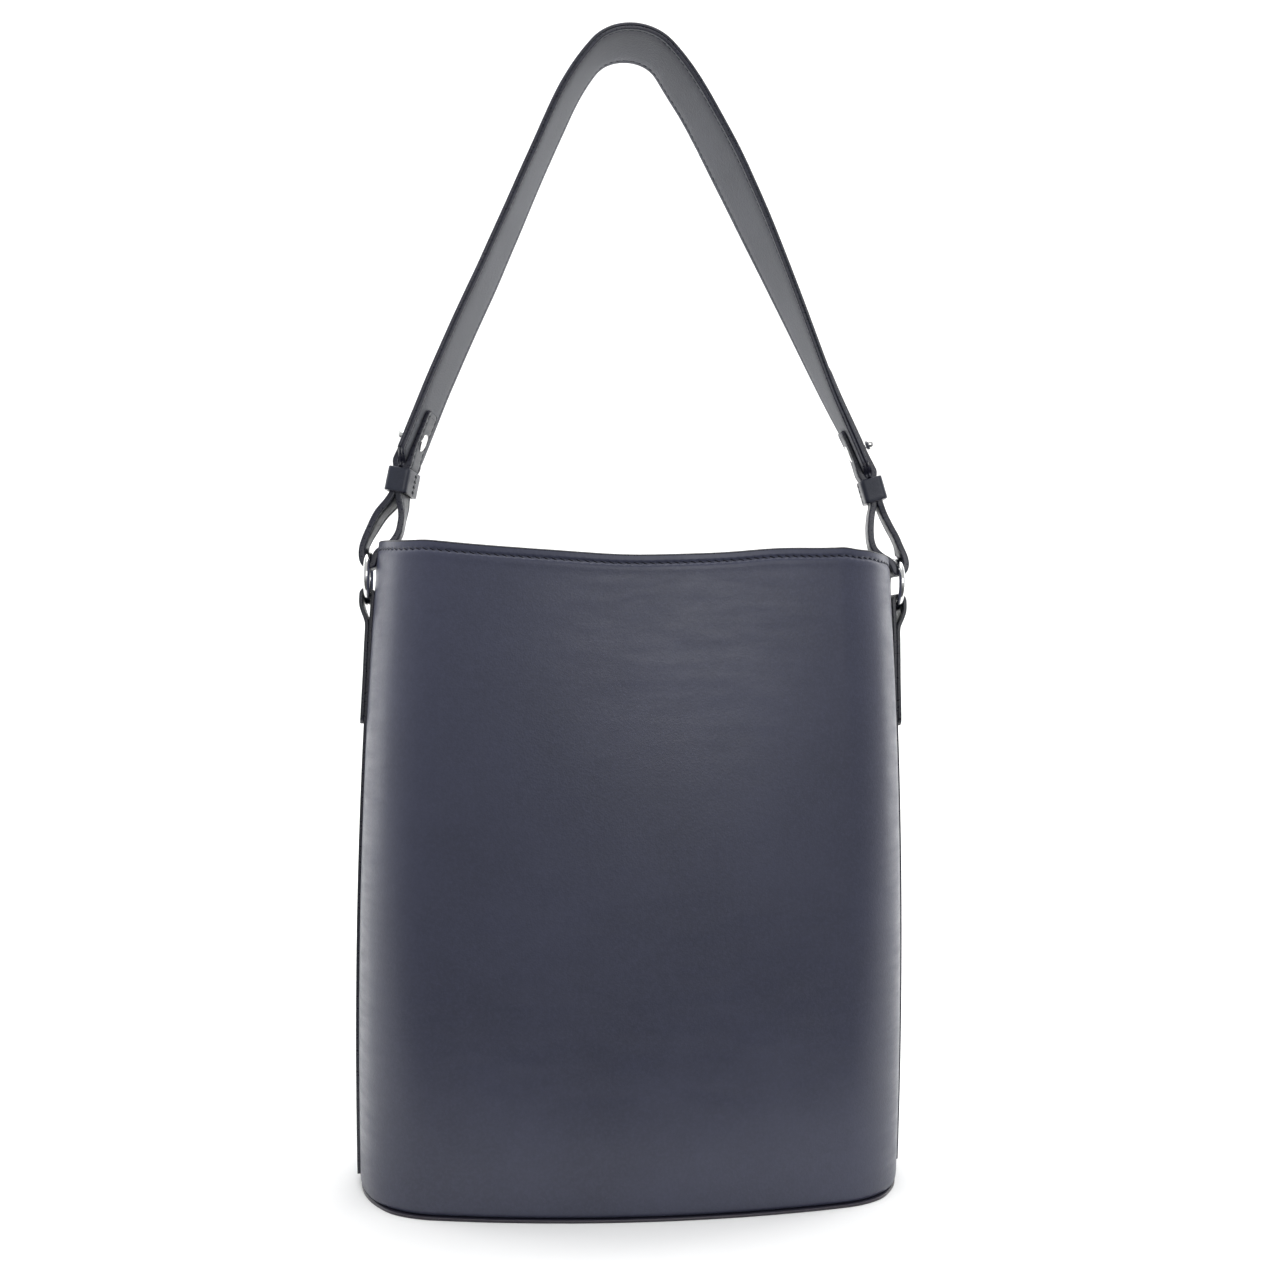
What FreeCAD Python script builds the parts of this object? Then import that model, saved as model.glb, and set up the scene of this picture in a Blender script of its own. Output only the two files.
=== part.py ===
import FreeCAD, Part
import math
import os
from FreeCAD import Placement, Rotation, Vector

os.makedirs("parts", exist_ok=True)
doc = FreeCAD.newDocument("BucketBag")

# ----------------------------------------------------------------- driving dimensions (mm)
sheet = doc.addObject("Spreadsheet::Sheet", "Dimensions")
DIMENSIONS = [
    # body shell: half widths (X) and half depths (Y) at the floor, at half height and at the top
    ("half_width_low", 130.5), ("half_width_mid", 132.0), ("half_width_high", 125.2),
    ("half_depth_low", 65.5), ("half_depth_mid", 66.5), ("half_depth_high", 63.5),
    ("shape_mid_height", 150.0), ("shape_high_height", 310.0),
    ("side_radius", 80.0), ("front_radius", 450.0), ("corner_radius", 43.0),
    ("panel_leather", 1.8), ("seam_half_gap", 0.1), ("layer_gap", 0.3),
    # rim: scooped in the middle, highest near the corners, lower again at the sides
    ("rim_centre", 300.0), ("rim_crest", 305.3), ("rim_side", 300.2),
    ("rim_crest_x", 99.0), ("rim_side_x", 126.0),
    # base
    ("base_leather", 2.4), ("base_overhang", 1.6), ("edge_round", 0.8),
    ("turn_in_width", 12.0), ("turn_in_leather", 1.6), ("board_thick", 2.0),
    ("lining_thick", 0.8), ("facing_leather", 1.4), ("facing_low", 262.0),
    # strip up each side, folded round the ring
    ("strip_width", 16.0), ("strip_leather", 1.8), ("strip_gap", 0.35), ("strip_foot", 2.6),
    ("tab_low", 220.0), ("tab_join", 270.5), ("tunnel_half", 1.9), ("tunnel_low", 276.5), ("tab_stand_off", 1.2),
    # rings
    ("ring_height", 291.35), ("ring_mean_radius", 12.5), ("ring_wire_radius", 1.5),
    # loop strap (chape) between ring and shoulder strap, in its own tilted frame
    ("chape_lean", 22.5), ("chape_width", 18.0), ("chape_leather", 3.0), ("chape_half_gap", 0.15),
    ("loop_inner_radius", 3.2), ("pinch_low", 32.0), ("pinch_high", 50.0), ("strap_end", 54.0),
    ("stud_along", 62.9), ("inner_tip", 78.4), ("outer_tip", 107.9), ("tip_round", 6.0),
    ("post_hole_radius", 2.1),
    # keeper band
    ("keeper_low", 35.1), ("keeper_tall", 12.0), ("keeper_leather", 1.5), ("keeper_clear", 0.15),
    # shoulder strap
    ("strap_width", 38.0), ("strap_layer", 1.6), ("strap_half_gap", 0.15), ("strap_apex", 562.6),
    ("apex_radius", 22.2), ("shoulder_radius", 197.0), ("apex_lean", 36.0), ("shoulder_lean", 27.0),
    ("end_chamfer", 8.0), ("end_half_width", 10.0),
    # stud
    ("plate_radius", 4.5), ("plate_thick", 1.2), ("post_radius", 2.0), ("spigot_radius", 1.2),
    ("spigot_length", 3.1), ("ball_radius", 2.6), ("neck_radius", 1.9), ("flange_thick", 0.6),
]
for row, (alias, value) in enumerate(DIMENSIONS, start=1):
    sheet.set("A%d" % row, alias)
    sheet.set("B%d" % row, "%g" % value)
    sheet.setAlias("B%d" % row, alias)
doc.recompute()
D = {alias: float(sheet.get(alias)) for alias, value in DIMENSIONS}


# ----------------------------------------------------------------- geometry helpers
def blend(low, mid, high, z):
    """Smooth (quadratic) value at height z of a size given at three heights."""
    z1 = D["shape_mid_height"]
    z2 = D["shape_high_height"]
    slope = (mid - low) / z1
    bend = (high - low - slope * z2) / (z2 * (z2 - z1))
    return low + slope * z + bend * z * (z - z1)


def half_width(z):
    return blend(D["half_width_low"], D["half_width_mid"], D["half_width_high"], z)


def half_depth(z):
    return blend(D["half_depth_low"], D["half_depth_mid"], D["half_depth_high"], z)


def arc(centre, radius, start, mid, end):
    """Arc by three angles in degrees, on the sketch plane."""
    points = []
    for angle in (start, mid, end):
        turn = math.radians(angle)
        points.append(Vector(centre[0] + radius * math.cos(turn), centre[1] + radius * math.sin(turn), 0))
    return Part.Arc(points[0], points[1], points[2])


def line(first, second):
    return Part.LineSegment(Vector(first[0], first[1], 0), Vector(second[0], second[1], 0))


def arc3(first, middle, last):
    return Part.Arc(Vector(first[0], first[1], 0), Vector(middle[0], middle[1], 0), Vector(last[0], last[1], 0))


def oval_circles(z):
    """Centres of the side, corner and front circles of the front right quarter, and the two tangent angles."""
    side_r = D["side_radius"]
    front_r = D["front_radius"]
    corner_r = D["corner_radius"]
    side_c = (half_width(z) - side_r, 0.0)
    front_c = (0.0, front_r - half_depth(z))
    reach_s = side_r - corner_r
    reach_f = front_r - corner_r
    dx = side_c[0] - front_c[0]
    dy = side_c[1] - front_c[1]
    span = math.hypot(dx, dy)
    along = (reach_f ** 2 - reach_s ** 2 + span ** 2) / (2 * span)
    across = math.sqrt(reach_f ** 2 - along ** 2)
    base = (front_c[0] + along * dx / span, front_c[1] + along * dy / span)
    options = [(base[0] + k * across * dy / span, base[1] - k * across * dx / span) for k in (1, -1)]
    corner_c = max(options, key=lambda p: p[0])
    side_angle = math.degrees(math.atan2(corner_c[1] - side_c[1], corner_c[0] - side_c[0]))
    front_angle = math.degrees(math.atan2(corner_c[1] - front_c[1], corner_c[0] - front_c[0]))
    return side_c, corner_c, front_c, side_angle, front_angle


def half_oval(z, inset, gap):
    """Front half (y < 0) of the body outline at height z, from the right seam round to the left seam."""
    side_c, corner_c, front_c, side_angle, front_angle = oval_circles(z)
    side_r = D["side_radius"] - inset
    corner_r = D["corner_radius"] - inset
    front_r = D["front_radius"] - inset
    seam = -math.degrees(math.asin(gap / side_r))
    right = [
        arc(side_c, side_r, seam, (seam + side_angle) / 2, side_angle),
        arc(corner_c, corner_r, side_angle, (side_angle + front_angle) / 2, front_angle),
    ]
    front = arc(front_c, front_r, front_angle, -90, -180 - front_angle)
    left = [
        arc((-corner_c[0], corner_c[1]), corner_r, -180 - front_angle,
            -180 - (side_angle + front_angle) / 2, -180 - side_angle),
        arc((-side_c[0], side_c[1]), side_r, -180 - side_angle, -180 - (seam + side_angle) / 2, -180 - seam),
    ]
    return right + [front] + left


def chained(edges):
    """First and last point of a run of edges."""
    return edges[0].StartPoint, edges[-1].EndPoint


def band_outline(z, outer_inset, inner_inset):
    """Closed C-shaped outline of one half wall."""
    gap = D["seam_half_gap"]
    outer = half_oval(z, outer_inset, gap)
    inner = half_oval(z, inner_inset, gap)
    outer_first, outer_last = chained(outer)
    inner_first, inner_last = chained(inner)
    return outer + [line(outer_last, inner_last)] + inner + [line(inner_first, outer_first)]


def full_outline(z, inset):
    front = half_oval(z, inset, 0.0)
    back = []
    for edge in half_oval(z, inset, 0.0):
        mid = edge.value((edge.FirstParameter + edge.LastParameter) / 2)
        back.append(arc3((edge.StartPoint.x, -edge.StartPoint.y), (mid.x, -mid.y),
                         (edge.EndPoint.x, -edge.EndPoint.y)))
    return front + back


# ----------------------------------------------------------------- part design helpers
def new_body(name, label, placement=None):
    body = doc.addObject("PartDesign::Body", name)
    body.Label = label
    if placement is not None:
        body.Placement = placement
    return body


def new_sketch(body, name, plane, edges, offset=None):
    sketch = body.newObject("Sketcher::SketchObject", name)
    for item in body.Origin.OriginFeatures:
        if item.Role == plane:
            sketch.AttachmentSupport = [(item, "")]
    sketch.MapMode = "FlatFace"
    if offset is not None:
        sketch.AttachmentOffset = offset
    for edge in edges:
        sketch.addGeometry(edge, False)
    doc.recompute()
    return sketch


def lift(z):
    return Placement(Vector(0, 0, z), Rotation())


def symmetric(feature):
    if hasattr(feature, "SideType"):
        feature.SideType = "Symmetric"
    else:
        feature.Midplane = True


def pad(body, name, sketch, alias, both=False):
    feature = body.newObject("PartDesign::Pad", name)
    feature.Profile = sketch
    feature.setExpression("Length", "Dimensions." + alias)
    if both:
        symmetric(feature)
    doc.recompute()
    return feature


def cut_through(body, name, sketch, length):
    """Symmetric pocket; stops the build if nothing was removed."""
    before = body.Shape.Volume
    feature = body.newObject("PartDesign::Pocket", name)
    feature.Profile = sketch
    feature.Length = length
    symmetric(feature)
    doc.recompute()
    if not body.Shape.Volume < before:
        raise ValueError("pocket removed nothing: " + name)
    return feature


def loft(body, name, heights, outline):
    sketches = []
    for index, z in enumerate(heights):
        sketches.append(new_sketch(body, "%sLevel%d" % (name, index), "XY_Plane", outline(z), lift(z)))
    feature = body.newObject("PartDesign::AdditiveLoft", name)
    feature.Profile = sketches[0]
    feature.Sections = sketches[1:]
    feature.Ruled = False
    doc.recompute()
    return feature


def round_edges(body, name, wanted, radius):
    before = body.Shape.Volume
    names = ["Edge%d" % (i + 1) for i, edge in enumerate(body.Shape.Edges) if wanted(edge)]
    support = body.Tip
    feature = body.newObject("PartDesign::Fillet", name)
    feature.Base = (support, names)
    feature.Radius = radius
    doc.recompute()
    if abs(body.Shape.Volume - before) < 1e-6:
        raise ValueError("fillet changed nothing: " + name)
    return feature


def mirrored(source, name, label, normal):
    twin = doc.addObject("Part::Mirroring", name)
    twin.Source = source
    twin.Normal = normal
    twin.Base = Vector(0, 0, 0)
    twin.Label = label
    doc.recompute()
    return twin


# ----------------------------------------------------------------- rim cut
def rim_edges():
    """Area above the rim line, on the XZ plane."""
    crest = (D["rim_crest_x"], D["rim_crest"])
    side = (D["rim_side_x"], D["rim_side"])
    scoop = arc3((-crest[0], crest[1]), (0, D["rim_centre"]), crest)
    start_slope = 2 * math.atan2(crest[1] - D["rim_centre"], crest[0])
    chord = math.hypot(side[0] - crest[0], side[1] - crest[1])
    chord_slope = math.atan2(side[1] - crest[1], side[0] - crest[0])
    half_turn = start_slope - chord_slope
    rise = chord / 2 * math.tan(half_turn / 2)
    middle = ((crest[0] + side[0]) / 2 - rise * math.sin(chord_slope),
              (crest[1] + side[1]) / 2 + rise * math.cos(chord_slope))
    beyond = half_width(0) + 20
    ceiling = D["shape_high_height"] + 20
    right = [arc3(crest, middle, side), line(side, (beyond, side[1])), line((beyond, side[1]), (beyond, ceiling))]
    left = [
        line((-beyond, ceiling), (-beyond, side[1])),
        line((-beyond, side[1]), (-side[0], side[1])),
        arc3((-side[0], side[1]), (-middle[0], middle[1]), (-crest[0], crest[1])),
    ]
    return [scoop] + right + [line((beyond, ceiling), (-beyond, ceiling))] + left


def cut_rim(body, name):
    sketch = new_sketch(body, name + "Line", "XZ_Plane", rim_edges())
    cut_through(body, name, sketch, 4 * D["half_depth_mid"])


made = []

# ----------------------------------------------------------------- front and back panels
wall = D["panel_leather"]
low = D["base_leather"]
high = D["shape_high_height"]
panel = new_body("FrontPanel", "front_panel")
wall_heights = [low + (high - low) * k / 4 for k in range(5)]
loft(panel, "PanelWall", wall_heights, lambda z: band_outline(z, 0.0, wall))
turn_in = new_sketch(panel, "TurnInOutline", "XY_Plane", band_outline(low, 0.0, D["turn_in_width"]), lift(low))
pad(panel, "TurnIn", turn_in, "turn_in_leather")
cut_rim(panel, "PanelRim")
made.append(panel)
made.append(mirrored(panel, "BackPanel", "back_panel", Vector(0, 1, 0)))

# ----------------------------------------------------------------- base: leather, board, lining
base = new_body("BasePanel", "base_panel")
pad(base, "BaseLeather", new_sketch(base, "BaseOutline", "XY_Plane", full_outline(0, -D["base_overhang"])),
    "base_leather")
round_edges(base, "BaseEdgePaint", lambda e: e.BoundBox.ZLength < 0.01, D["edge_round"])
made.append(base)

board_low = low + D["turn_in_leather"]
board = new_body("BaseBoard", "base_board")
board_outline = full_outline(board_low, wall + D["layer_gap"] + 0.7)
pad(board, "Board", new_sketch(board, "BoardOutline", "XY_Plane", board_outline, lift(board_low)), "board_thick")
made.append(board)

lining_low = board_low + D["board_thick"]
floor_cloth = new_body("BaseLining", "base_lining")
cloth_outline = full_outline(lining_low, wall + 2 * D["layer_gap"] + D["lining_thick"])
pad(floor_cloth, "FloorCloth", new_sketch(floor_cloth, "ClothOutline", "XY_Plane", cloth_outline, lift(lining_low)),
    "lining_thick")
made.append(floor_cloth)

# ----------------------------------------------------------------- rim facings and wall linings
skin = wall + D["layer_gap"]
facing = new_body("FrontFacing", "front_facing")
facing_heights = [D["facing_low"] + (high - D["facing_low"]) * k / 2 for k in range(3)]
loft(facing, "FacingWall", facing_heights, lambda z: band_outline(z, skin, skin + D["facing_leather"]))
cut_rim(facing, "FacingRim")
made.append(facing)
made.append(mirrored(facing, "BackFacing", "back_facing", Vector(0, 1, 0)))

cloth = new_body("FrontLining", "front_lining")
cloth_heights = [lining_low + (D["facing_low"] - lining_low) * k / 3 for k in range(4)]
loft(cloth, "LiningWall", cloth_heights, lambda z: band_outline(z, skin, skin + D["lining_thick"]))
made.append(cloth)
made.append(mirrored(cloth, "BackLining", "back_lining", Vector(0, 1, 0)))

# ----------------------------------------------------------------- side strips with the ring tab
ring_in = D["ring_mean_radius"] - D["ring_wire_radius"]
ring_z = D["ring_height"]
leather = D["strip_leather"]
tunnel = D["tunnel_half"]
fold_z = ring_z - math.sqrt(ring_in ** 2 - (D["strip_width"] / 2) ** 2) + D["layer_gap"] - tunnel


def side_point(z, off):
    """Point on the strip at height z: it leans away from the wall above the stitched end of the tab."""
    rise = max(0.0, (z - D["tab_low"]) / (fold_z - D["tab_low"]))
    return (half_width(z) + D["strip_gap"] + rise * D["tab_stand_off"] + off, z)


fold_x = side_point(fold_z, 0)[0] + leather + tunnel
foot = D["strip_foot"]
tab_low = D["tab_low"]
tab_join = D["tab_join"]
outer_r = leather + tunnel
strip_edges = [
    arc3(side_point(foot, 0), side_point(tab_low / 2, 0), side_point(tab_low, 0)),
    line(side_point(tab_low, 0), side_point(fold_z, 0)),
    arc3(side_point(fold_z, 0), (fold_x, fold_z + outer_r), (fold_x + outer_r, fold_z)),
    line((fold_x + outer_r, fold_z), (fold_x + outer_r, D["tunnel_low"])),
    line((fold_x + outer_r, D["tunnel_low"]), side_point(tab_join, 2 * leather)),
    line(side_point(tab_join, 2 * leather), side_point(tab_low, 2 * leather)),
    line(side_point(tab_low, 2 * leather), side_point(tab_low, leather)),
    arc3(side_point(tab_low, leather), side_point(tab_low / 2, leather), side_point(foot, leather)),
    line(side_point(foot, leather), side_point(foot, 0)),
    # the open fold the ring sits in
    arc3((fold_x - tunnel, fold_z), (fold_x, fold_z + tunnel), (fold_x + tunnel, fold_z)),
    line((fold_x + tunnel, fold_z), (fold_x + tunnel, D["tunnel_low"])),
    line((fold_x + tunnel, D["tunnel_low"]), side_point(tab_join + 1.5, leather + 0.2)),
    line(side_point(tab_join + 1.5, leather + 0.2), (fold_x - tunnel, fold_z)),
]
strip = new_body("RightSideStrip", "right_side_strip")
pad(strip, "Strip", new_sketch(strip, "StripProfile", "XZ_Plane", strip_edges), "strip_width", both=True)
made.append(strip)
made.append(mirrored(strip, "LeftSideStrip", "left_side_strip", Vector(1, 0, 0)))

# ----------------------------------------------------------------- rings
ring = doc.addObject("Part::Torus", "RightRing")
ring.Label = "right_ring"
ring.setExpression("Radius1", "Dimensions.ring_mean_radius")
ring.setExpression("Radius2", "Dimensions.ring_wire_radius")
ring.Placement = Placement(Vector(fold_x, 0, ring_z), Rotation(Vector(0, 1, 0), 90))
doc.recompute()
made.append(ring)
made.append(mirrored(ring, "LeftRing", "left_ring", Vector(1, 0, 0)))

# ----------------------------------------------------------------- frame the loop strap lies in
lean = math.radians(D["chape_lean"])
loop_in = D["loop_inner_radius"]
loop_out = loop_in + D["chape_leather"]
loop_z = ring_z + math.sqrt(ring_in ** 2 - (D["chape_width"] / 2) ** 2) + loop_in - 2.5 * D["layer_gap"]
loop_x = fold_x - D["ring_wire_radius"] - D["layer_gap"] + loop_in
along = Vector(-math.sin(lean), 0, math.cos(lean))
outward = Vector(math.cos(lean), 0, math.sin(lean))
tilt = Rotation(Vector(0, 1, 0), -D["chape_lean"])
loop_centre = Vector(loop_x, 0, loop_z)
chape_frame = Placement(loop_centre, tilt)


def tangent_point(point, radius, side):
    """Where the line from point touches a circle round the frame origin, on the given side."""
    reach = math.hypot(point[0], point[1])
    turn = math.atan2(point[1], point[0]) - side * math.acos(radius / reach)
    return (radius * math.cos(turn), radius * math.sin(turn))


# ----------------------------------------------------------------- loop straps (chapes)
thick = D["chape_leather"]
near = D["chape_half_gap"]
wide = D["strap_layer"] + D["strap_half_gap"] + 0.1
pinch_low = D["pinch_low"]
pinch_high = D["pinch_high"]
strap_end = D["strap_end"]
outer_leg = [(wide + thick, D["outer_tip"]), (wide + thick, strap_end), (near + thick, pinch_high),
             (near + thick, pinch_low)]
inner_leg = [(-near - thick, pinch_low), (-near - thick, pinch_high), (-wide - thick, strap_end),
             (-wide - thick, D["inner_tip"]), (-wide, D["inner_tip"]), (-wide, strap_end),
             (-near, pinch_high), (-near, pinch_low)]
return_leg = [(near, pinch_low), (near, pinch_high), (wide, strap_end), (wide, D["outer_tip"])]
touch_out = tangent_point(outer_leg[-1], loop_out, 1)
touch_in = tangent_point(return_leg[0], loop_in, 1)
chape_edges = [line(a, b) for a, b in zip(outer_leg[:-1], outer_leg[1:])]
chape_edges.append(line(outer_leg[-1], touch_out))
chape_edges.append(arc3(touch_out, (0, -loop_out), (-touch_out[0], touch_out[1])))
chape_edges.append(line((-touch_out[0], touch_out[1]), inner_leg[0]))
chape_edges += [line(a, b) for a, b in zip(inner_leg[:-1], inner_leg[1:])]
chape_edges.append(line(inner_leg[-1], (-touch_in[0], touch_in[1])))
chape_edges.append(arc3((-touch_in[0], touch_in[1]), (0, -loop_in), touch_in))
chape_edges.append(line(touch_in, return_leg[0]))
chape_edges += [line(a, b) for a, b in zip(return_leg[:-1], return_leg[1:])]
chape_edges.append(line(return_leg[-1], outer_leg[0]))

chape = new_body("RightChape", "right_chape", chape_frame)
pad(chape, "ChapeStrip", new_sketch(chape, "ChapeProfile", "XZ_Plane", chape_edges), "chape_width", both=True)
post_circle = Part.Circle(Vector(0, D["stud_along"], 0), Vector(0, 0, 1), D["post_hole_radius"])
cut_through(chape, "PostHole", new_sketch(chape, "PostHoleCircle", "YZ_Plane", [post_circle]), 30)


def at_tip(edge):
    box = edge.BoundBox
    tip = min(abs(box.ZMax - D["outer_tip"]), abs(box.ZMax - D["inner_tip"]))
    return box.ZLength < 0.01 and box.YLength < 0.01 and tip < 0.01


plain = chape.Placement
chape.Placement = Placement()
doc.recompute()
round_edges(chape, "ChapeTips", at_tip, D["tip_round"])
chape.Placement = plain
doc.recompute()
made.append(chape)
made.append(mirrored(chape, "LeftChape", "left_chape", Vector(1, 0, 0)))

# ----------------------------------------------------------------- keepers


def box_edges(half_x, half_y):
    corners = [(-half_x, -half_y), (half_x, -half_y), (half_x, half_y), (-half_x, half_y)]
    return [line(corners[k], corners[(k + 1) % 4]) for k in range(4)]


slot_x = near + thick + D["keeper_clear"]
slot_y = D["chape_width"] / 2 + 2 * D["keeper_clear"]
keeper_edges = box_edges(slot_x, slot_y) + box_edges(slot_x + D["keeper_leather"], slot_y + D["keeper_leather"])
keeper = new_body("RightKeeper", "right_keeper")
keeper_sketch = new_sketch(keeper, "KeeperProfile", "XY_Plane", keeper_edges, lift(D["keeper_low"]))
pad(keeper, "KeeperBand", keeper_sketch, "keeper_tall")


def outer_corner(edge):
    box = edge.BoundBox
    return box.XLength < 0.01 and box.YLength < 0.01 and abs(box.XMax) > slot_x + 0.5


round_edges(keeper, "KeeperCorners", outer_corner, 1.2)
keeper.Placement = chape_frame
doc.recompute()
made.append(keeper)
made.append(mirrored(keeper, "LeftKeeper", "left_keeper", Vector(1, 0, 0)))

# ----------------------------------------------------------------- studs
stud_frame = Placement(loop_centre + along * D["stud_along"], tilt)
seat = wide + thick
post_r = D["post_radius"]
spigot_r = D["spigot_radius"]
plate_r = D["plate_radius"]
plate_out = seat + D["plate_thick"]


def outline(points):
    return [line(a, b) for a, b in zip(points, points[1:] + points[:1])]


def revolve(body, name, edges):
    sketch = new_sketch(body, name + "Profile", "XZ_Plane", edges)
    feature = body.newObject("PartDesign::Revolution", name)
    feature.Profile = sketch
    feature.ReferenceAxis = (sketch, ["H_Axis"])
    feature.Angle = 360
    doc.recompute()
    return feature


stud_base = new_body("RightStudBase", "right_stud_base")
revolve(stud_base, "StudBase", outline([
    (-plate_out, 0), (-plate_out, plate_r - 0.5), (-plate_out + 0.5, plate_r), (-seat, plate_r), (-seat, post_r),
    (seat, post_r), (seat, spigot_r), (seat + D["spigot_length"], spigot_r), (seat + D["spigot_length"], 0)]))
stud_base.Placement = stud_frame
doc.recompute()
made.append(stud_base)
made.append(mirrored(stud_base, "LeftStudBase", "left_stud_base", Vector(1, 0, 0)))

bore_r = spigot_r + 0.1
ball_r = D["ball_radius"]
neck_r = D["neck_radius"]
ball_x = seat + 3.05
bore_end = seat + D["spigot_length"] + 0.1
neck_x = ball_x - math.sqrt(ball_r ** 2 - neck_r ** 2)
flange_x = seat + D["flange_thick"]
head_edges = [
    line((seat, bore_r), (seat, ball_r)),
    line((seat, ball_r), (flange_x, ball_r)),
    line((flange_x, ball_r), (flange_x, neck_r)),
    line((flange_x, neck_r), (neck_x, neck_r)),
    arc3((neck_x, neck_r), (ball_x, ball_r), (ball_x + ball_r, 0)),
    line((ball_x + ball_r, 0), (bore_end, 0)),
    line((bore_end, 0), (bore_end, bore_r)),
    line((bore_end, bore_r), (seat, bore_r)),
]
stud_head = new_body("RightStudHead", "right_stud_head")
revolve(stud_head, "StudHead", head_edges)
stud_head.Placement = stud_frame
doc.recompute()
made.append(stud_head)
made.append(mirrored(stud_head, "LeftStudHead", "left_stud_head", Vector(1, 0, 0)))

# ----------------------------------------------------------------- shoulder strap, two layers


def spoke(degrees):
    turn = math.radians(degrees)
    return Vector(math.cos(turn), math.sin(turn), 0)


apex_r = D["apex_radius"]
shoulder_r = D["shoulder_radius"]
apex_lean = D["apex_lean"]
shoulder_lean = D["shoulder_lean"]
foot_lean = D["chape_lean"]
apex_c = Vector(0, D["strap_apex"] - apex_r, 0)
joint_one = apex_c + spoke(apex_lean) * apex_r
shoulder_c = joint_one - spoke(apex_lean) * shoulder_r
joint_two = shoulder_c + spoke(shoulder_lean) * shoulder_r
flat_origin = Vector(loop_centre.x, loop_centre.z, 0)
miss = (flat_origin - joint_two).dot(spoke(foot_lean))
long_r = miss / (1 - math.cos(math.radians(shoulder_lean - foot_lean)))
long_c = joint_two - spoke(shoulder_lean) * long_r
joint_three = long_c + spoke(foot_lean) * long_r
flat_along = Vector(along.x, along.z, 0)
straight_top = (joint_three - flat_origin).dot(flat_along)
print("strap: long radius %.1f, straight up to %.1f along the loop strap" % (long_r, straight_top))


def strap_run(off):
    """Edges of the strap profile at an offset from its middle line, right end to left end."""
    foot_point = flat_origin + flat_along * strap_end + spoke(foot_lean) * off
    run = [
        line(foot_point, joint_three + spoke(foot_lean) * off),
        arc((long_c.x, long_c.y), long_r + off, foot_lean, (foot_lean + shoulder_lean) / 2, shoulder_lean),
        arc((shoulder_c.x, shoulder_c.y), shoulder_r + off, shoulder_lean, (shoulder_lean + apex_lean) / 2, apex_lean),
    ]
    top = arc((0, apex_c.y), apex_r + off, apex_lean, 90, 180 - apex_lean)
    other = [
        arc((-shoulder_c.x, shoulder_c.y), shoulder_r + off, 180 - apex_lean, 180 - (shoulder_lean + apex_lean) / 2,
            180 - shoulder_lean),
        arc((-long_c.x, long_c.y), long_r + off, 180 - shoulder_lean, 180 - (foot_lean + shoulder_lean) / 2,
            180 - foot_lean),
        line((-(joint_three + spoke(foot_lean) * off).x, (joint_three + spoke(foot_lean) * off).y),
             (-foot_point.x, foot_point.y)),
    ]
    return run + [top] + other


def strap_layer(name, label, inner_off, outer_off):
    body = new_body(name, label)
    first = strap_run(outer_off)
    second = strap_run(inner_off)
    edges = first + second
    edges.append(line(first[0].StartPoint, second[0].StartPoint))
    edges.append(line(first[-1].EndPoint, second[-1].EndPoint))
    pad(body, name + "Band", new_sketch(body, name + "Profile", "XZ_Plane", edges), "strap_width", both=True)
    half = D["strap_width"] / 2
    for side in (1, -1):
        # sketch plane lies along the strap end: sketch x is Y, sketch y runs up the strap
        offset = Placement(Vector(0, loop_centre.z, side * loop_centre.x), Rotation(Vector(1, 0, 0), -side * foot_lean))
        cuts = [Part.Circle(Vector(0, D["stud_along"], 0), Vector(0, 0, 1), D["post_hole_radius"])]
        for edge_side in (1, -1):
            corner = [(edge_side * (half + 1), strap_end - 1), (edge_side * (half + 1), strap_end + D["end_chamfer"]),
                      (edge_side * D["end_half_width"], strap_end - 1)]
            cuts += outline(corner)
        sketch = new_sketch(body, "%sEnd%s" % (name, "Right" if side > 0 else "Left"), "YZ_Plane", cuts, offset)
        cut_through(body, "%sCut%s" % (name, "Right" if side > 0 else "Left"), sketch, 12)
    return body


gap = D["strap_half_gap"]
layer = D["strap_layer"]
made.append(strap_layer("StrapOuter", "strap_outer_layer", gap, gap + layer))
made.append(strap_layer("StrapInner", "strap_lining_layer", -gap - layer, -gap))

# ----------------------------------------------------------------- checks and files
doc.recompute()
for item in doc.Objects:
    if "Invalid" in item.State or "Error" in item.State:
        raise ValueError("%s: %s" % (item.Name, item.State))
for item in made:
    shape = item.Shape
    if shape.isNull() or not shape.isValid() or shape.Volume <= 0 or len(shape.Solids) != 1:
        raise ValueError("bad shape: %s (%d solids)" % (item.Label, len(shape.Solids)))
    shape.exportStep("parts/%s.step" % item.Label)
    box = shape.BoundBox
    print("%-20s X %7.2f %7.2f  Y %7.2f %7.2f  Z %7.2f %7.2f  V %9.1f" % (
        item.Label, box.XMin, box.XMax, box.YMin, box.YMax, box.ZMin, box.ZMax, shape.Volume))
print("ring centre", fold_x, ring_z, "loop", loop_x, loop_z)
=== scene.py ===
"""Bucket bag: its looks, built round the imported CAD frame.

Sizes are in millimetres, as in the CAD source, down to the stage; make_piece turns them into metres.
+Z is up and the front is -Y.
"""

import math

import bpy
import numpy as np
from mathutils import Matrix, Vector, noise


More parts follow.
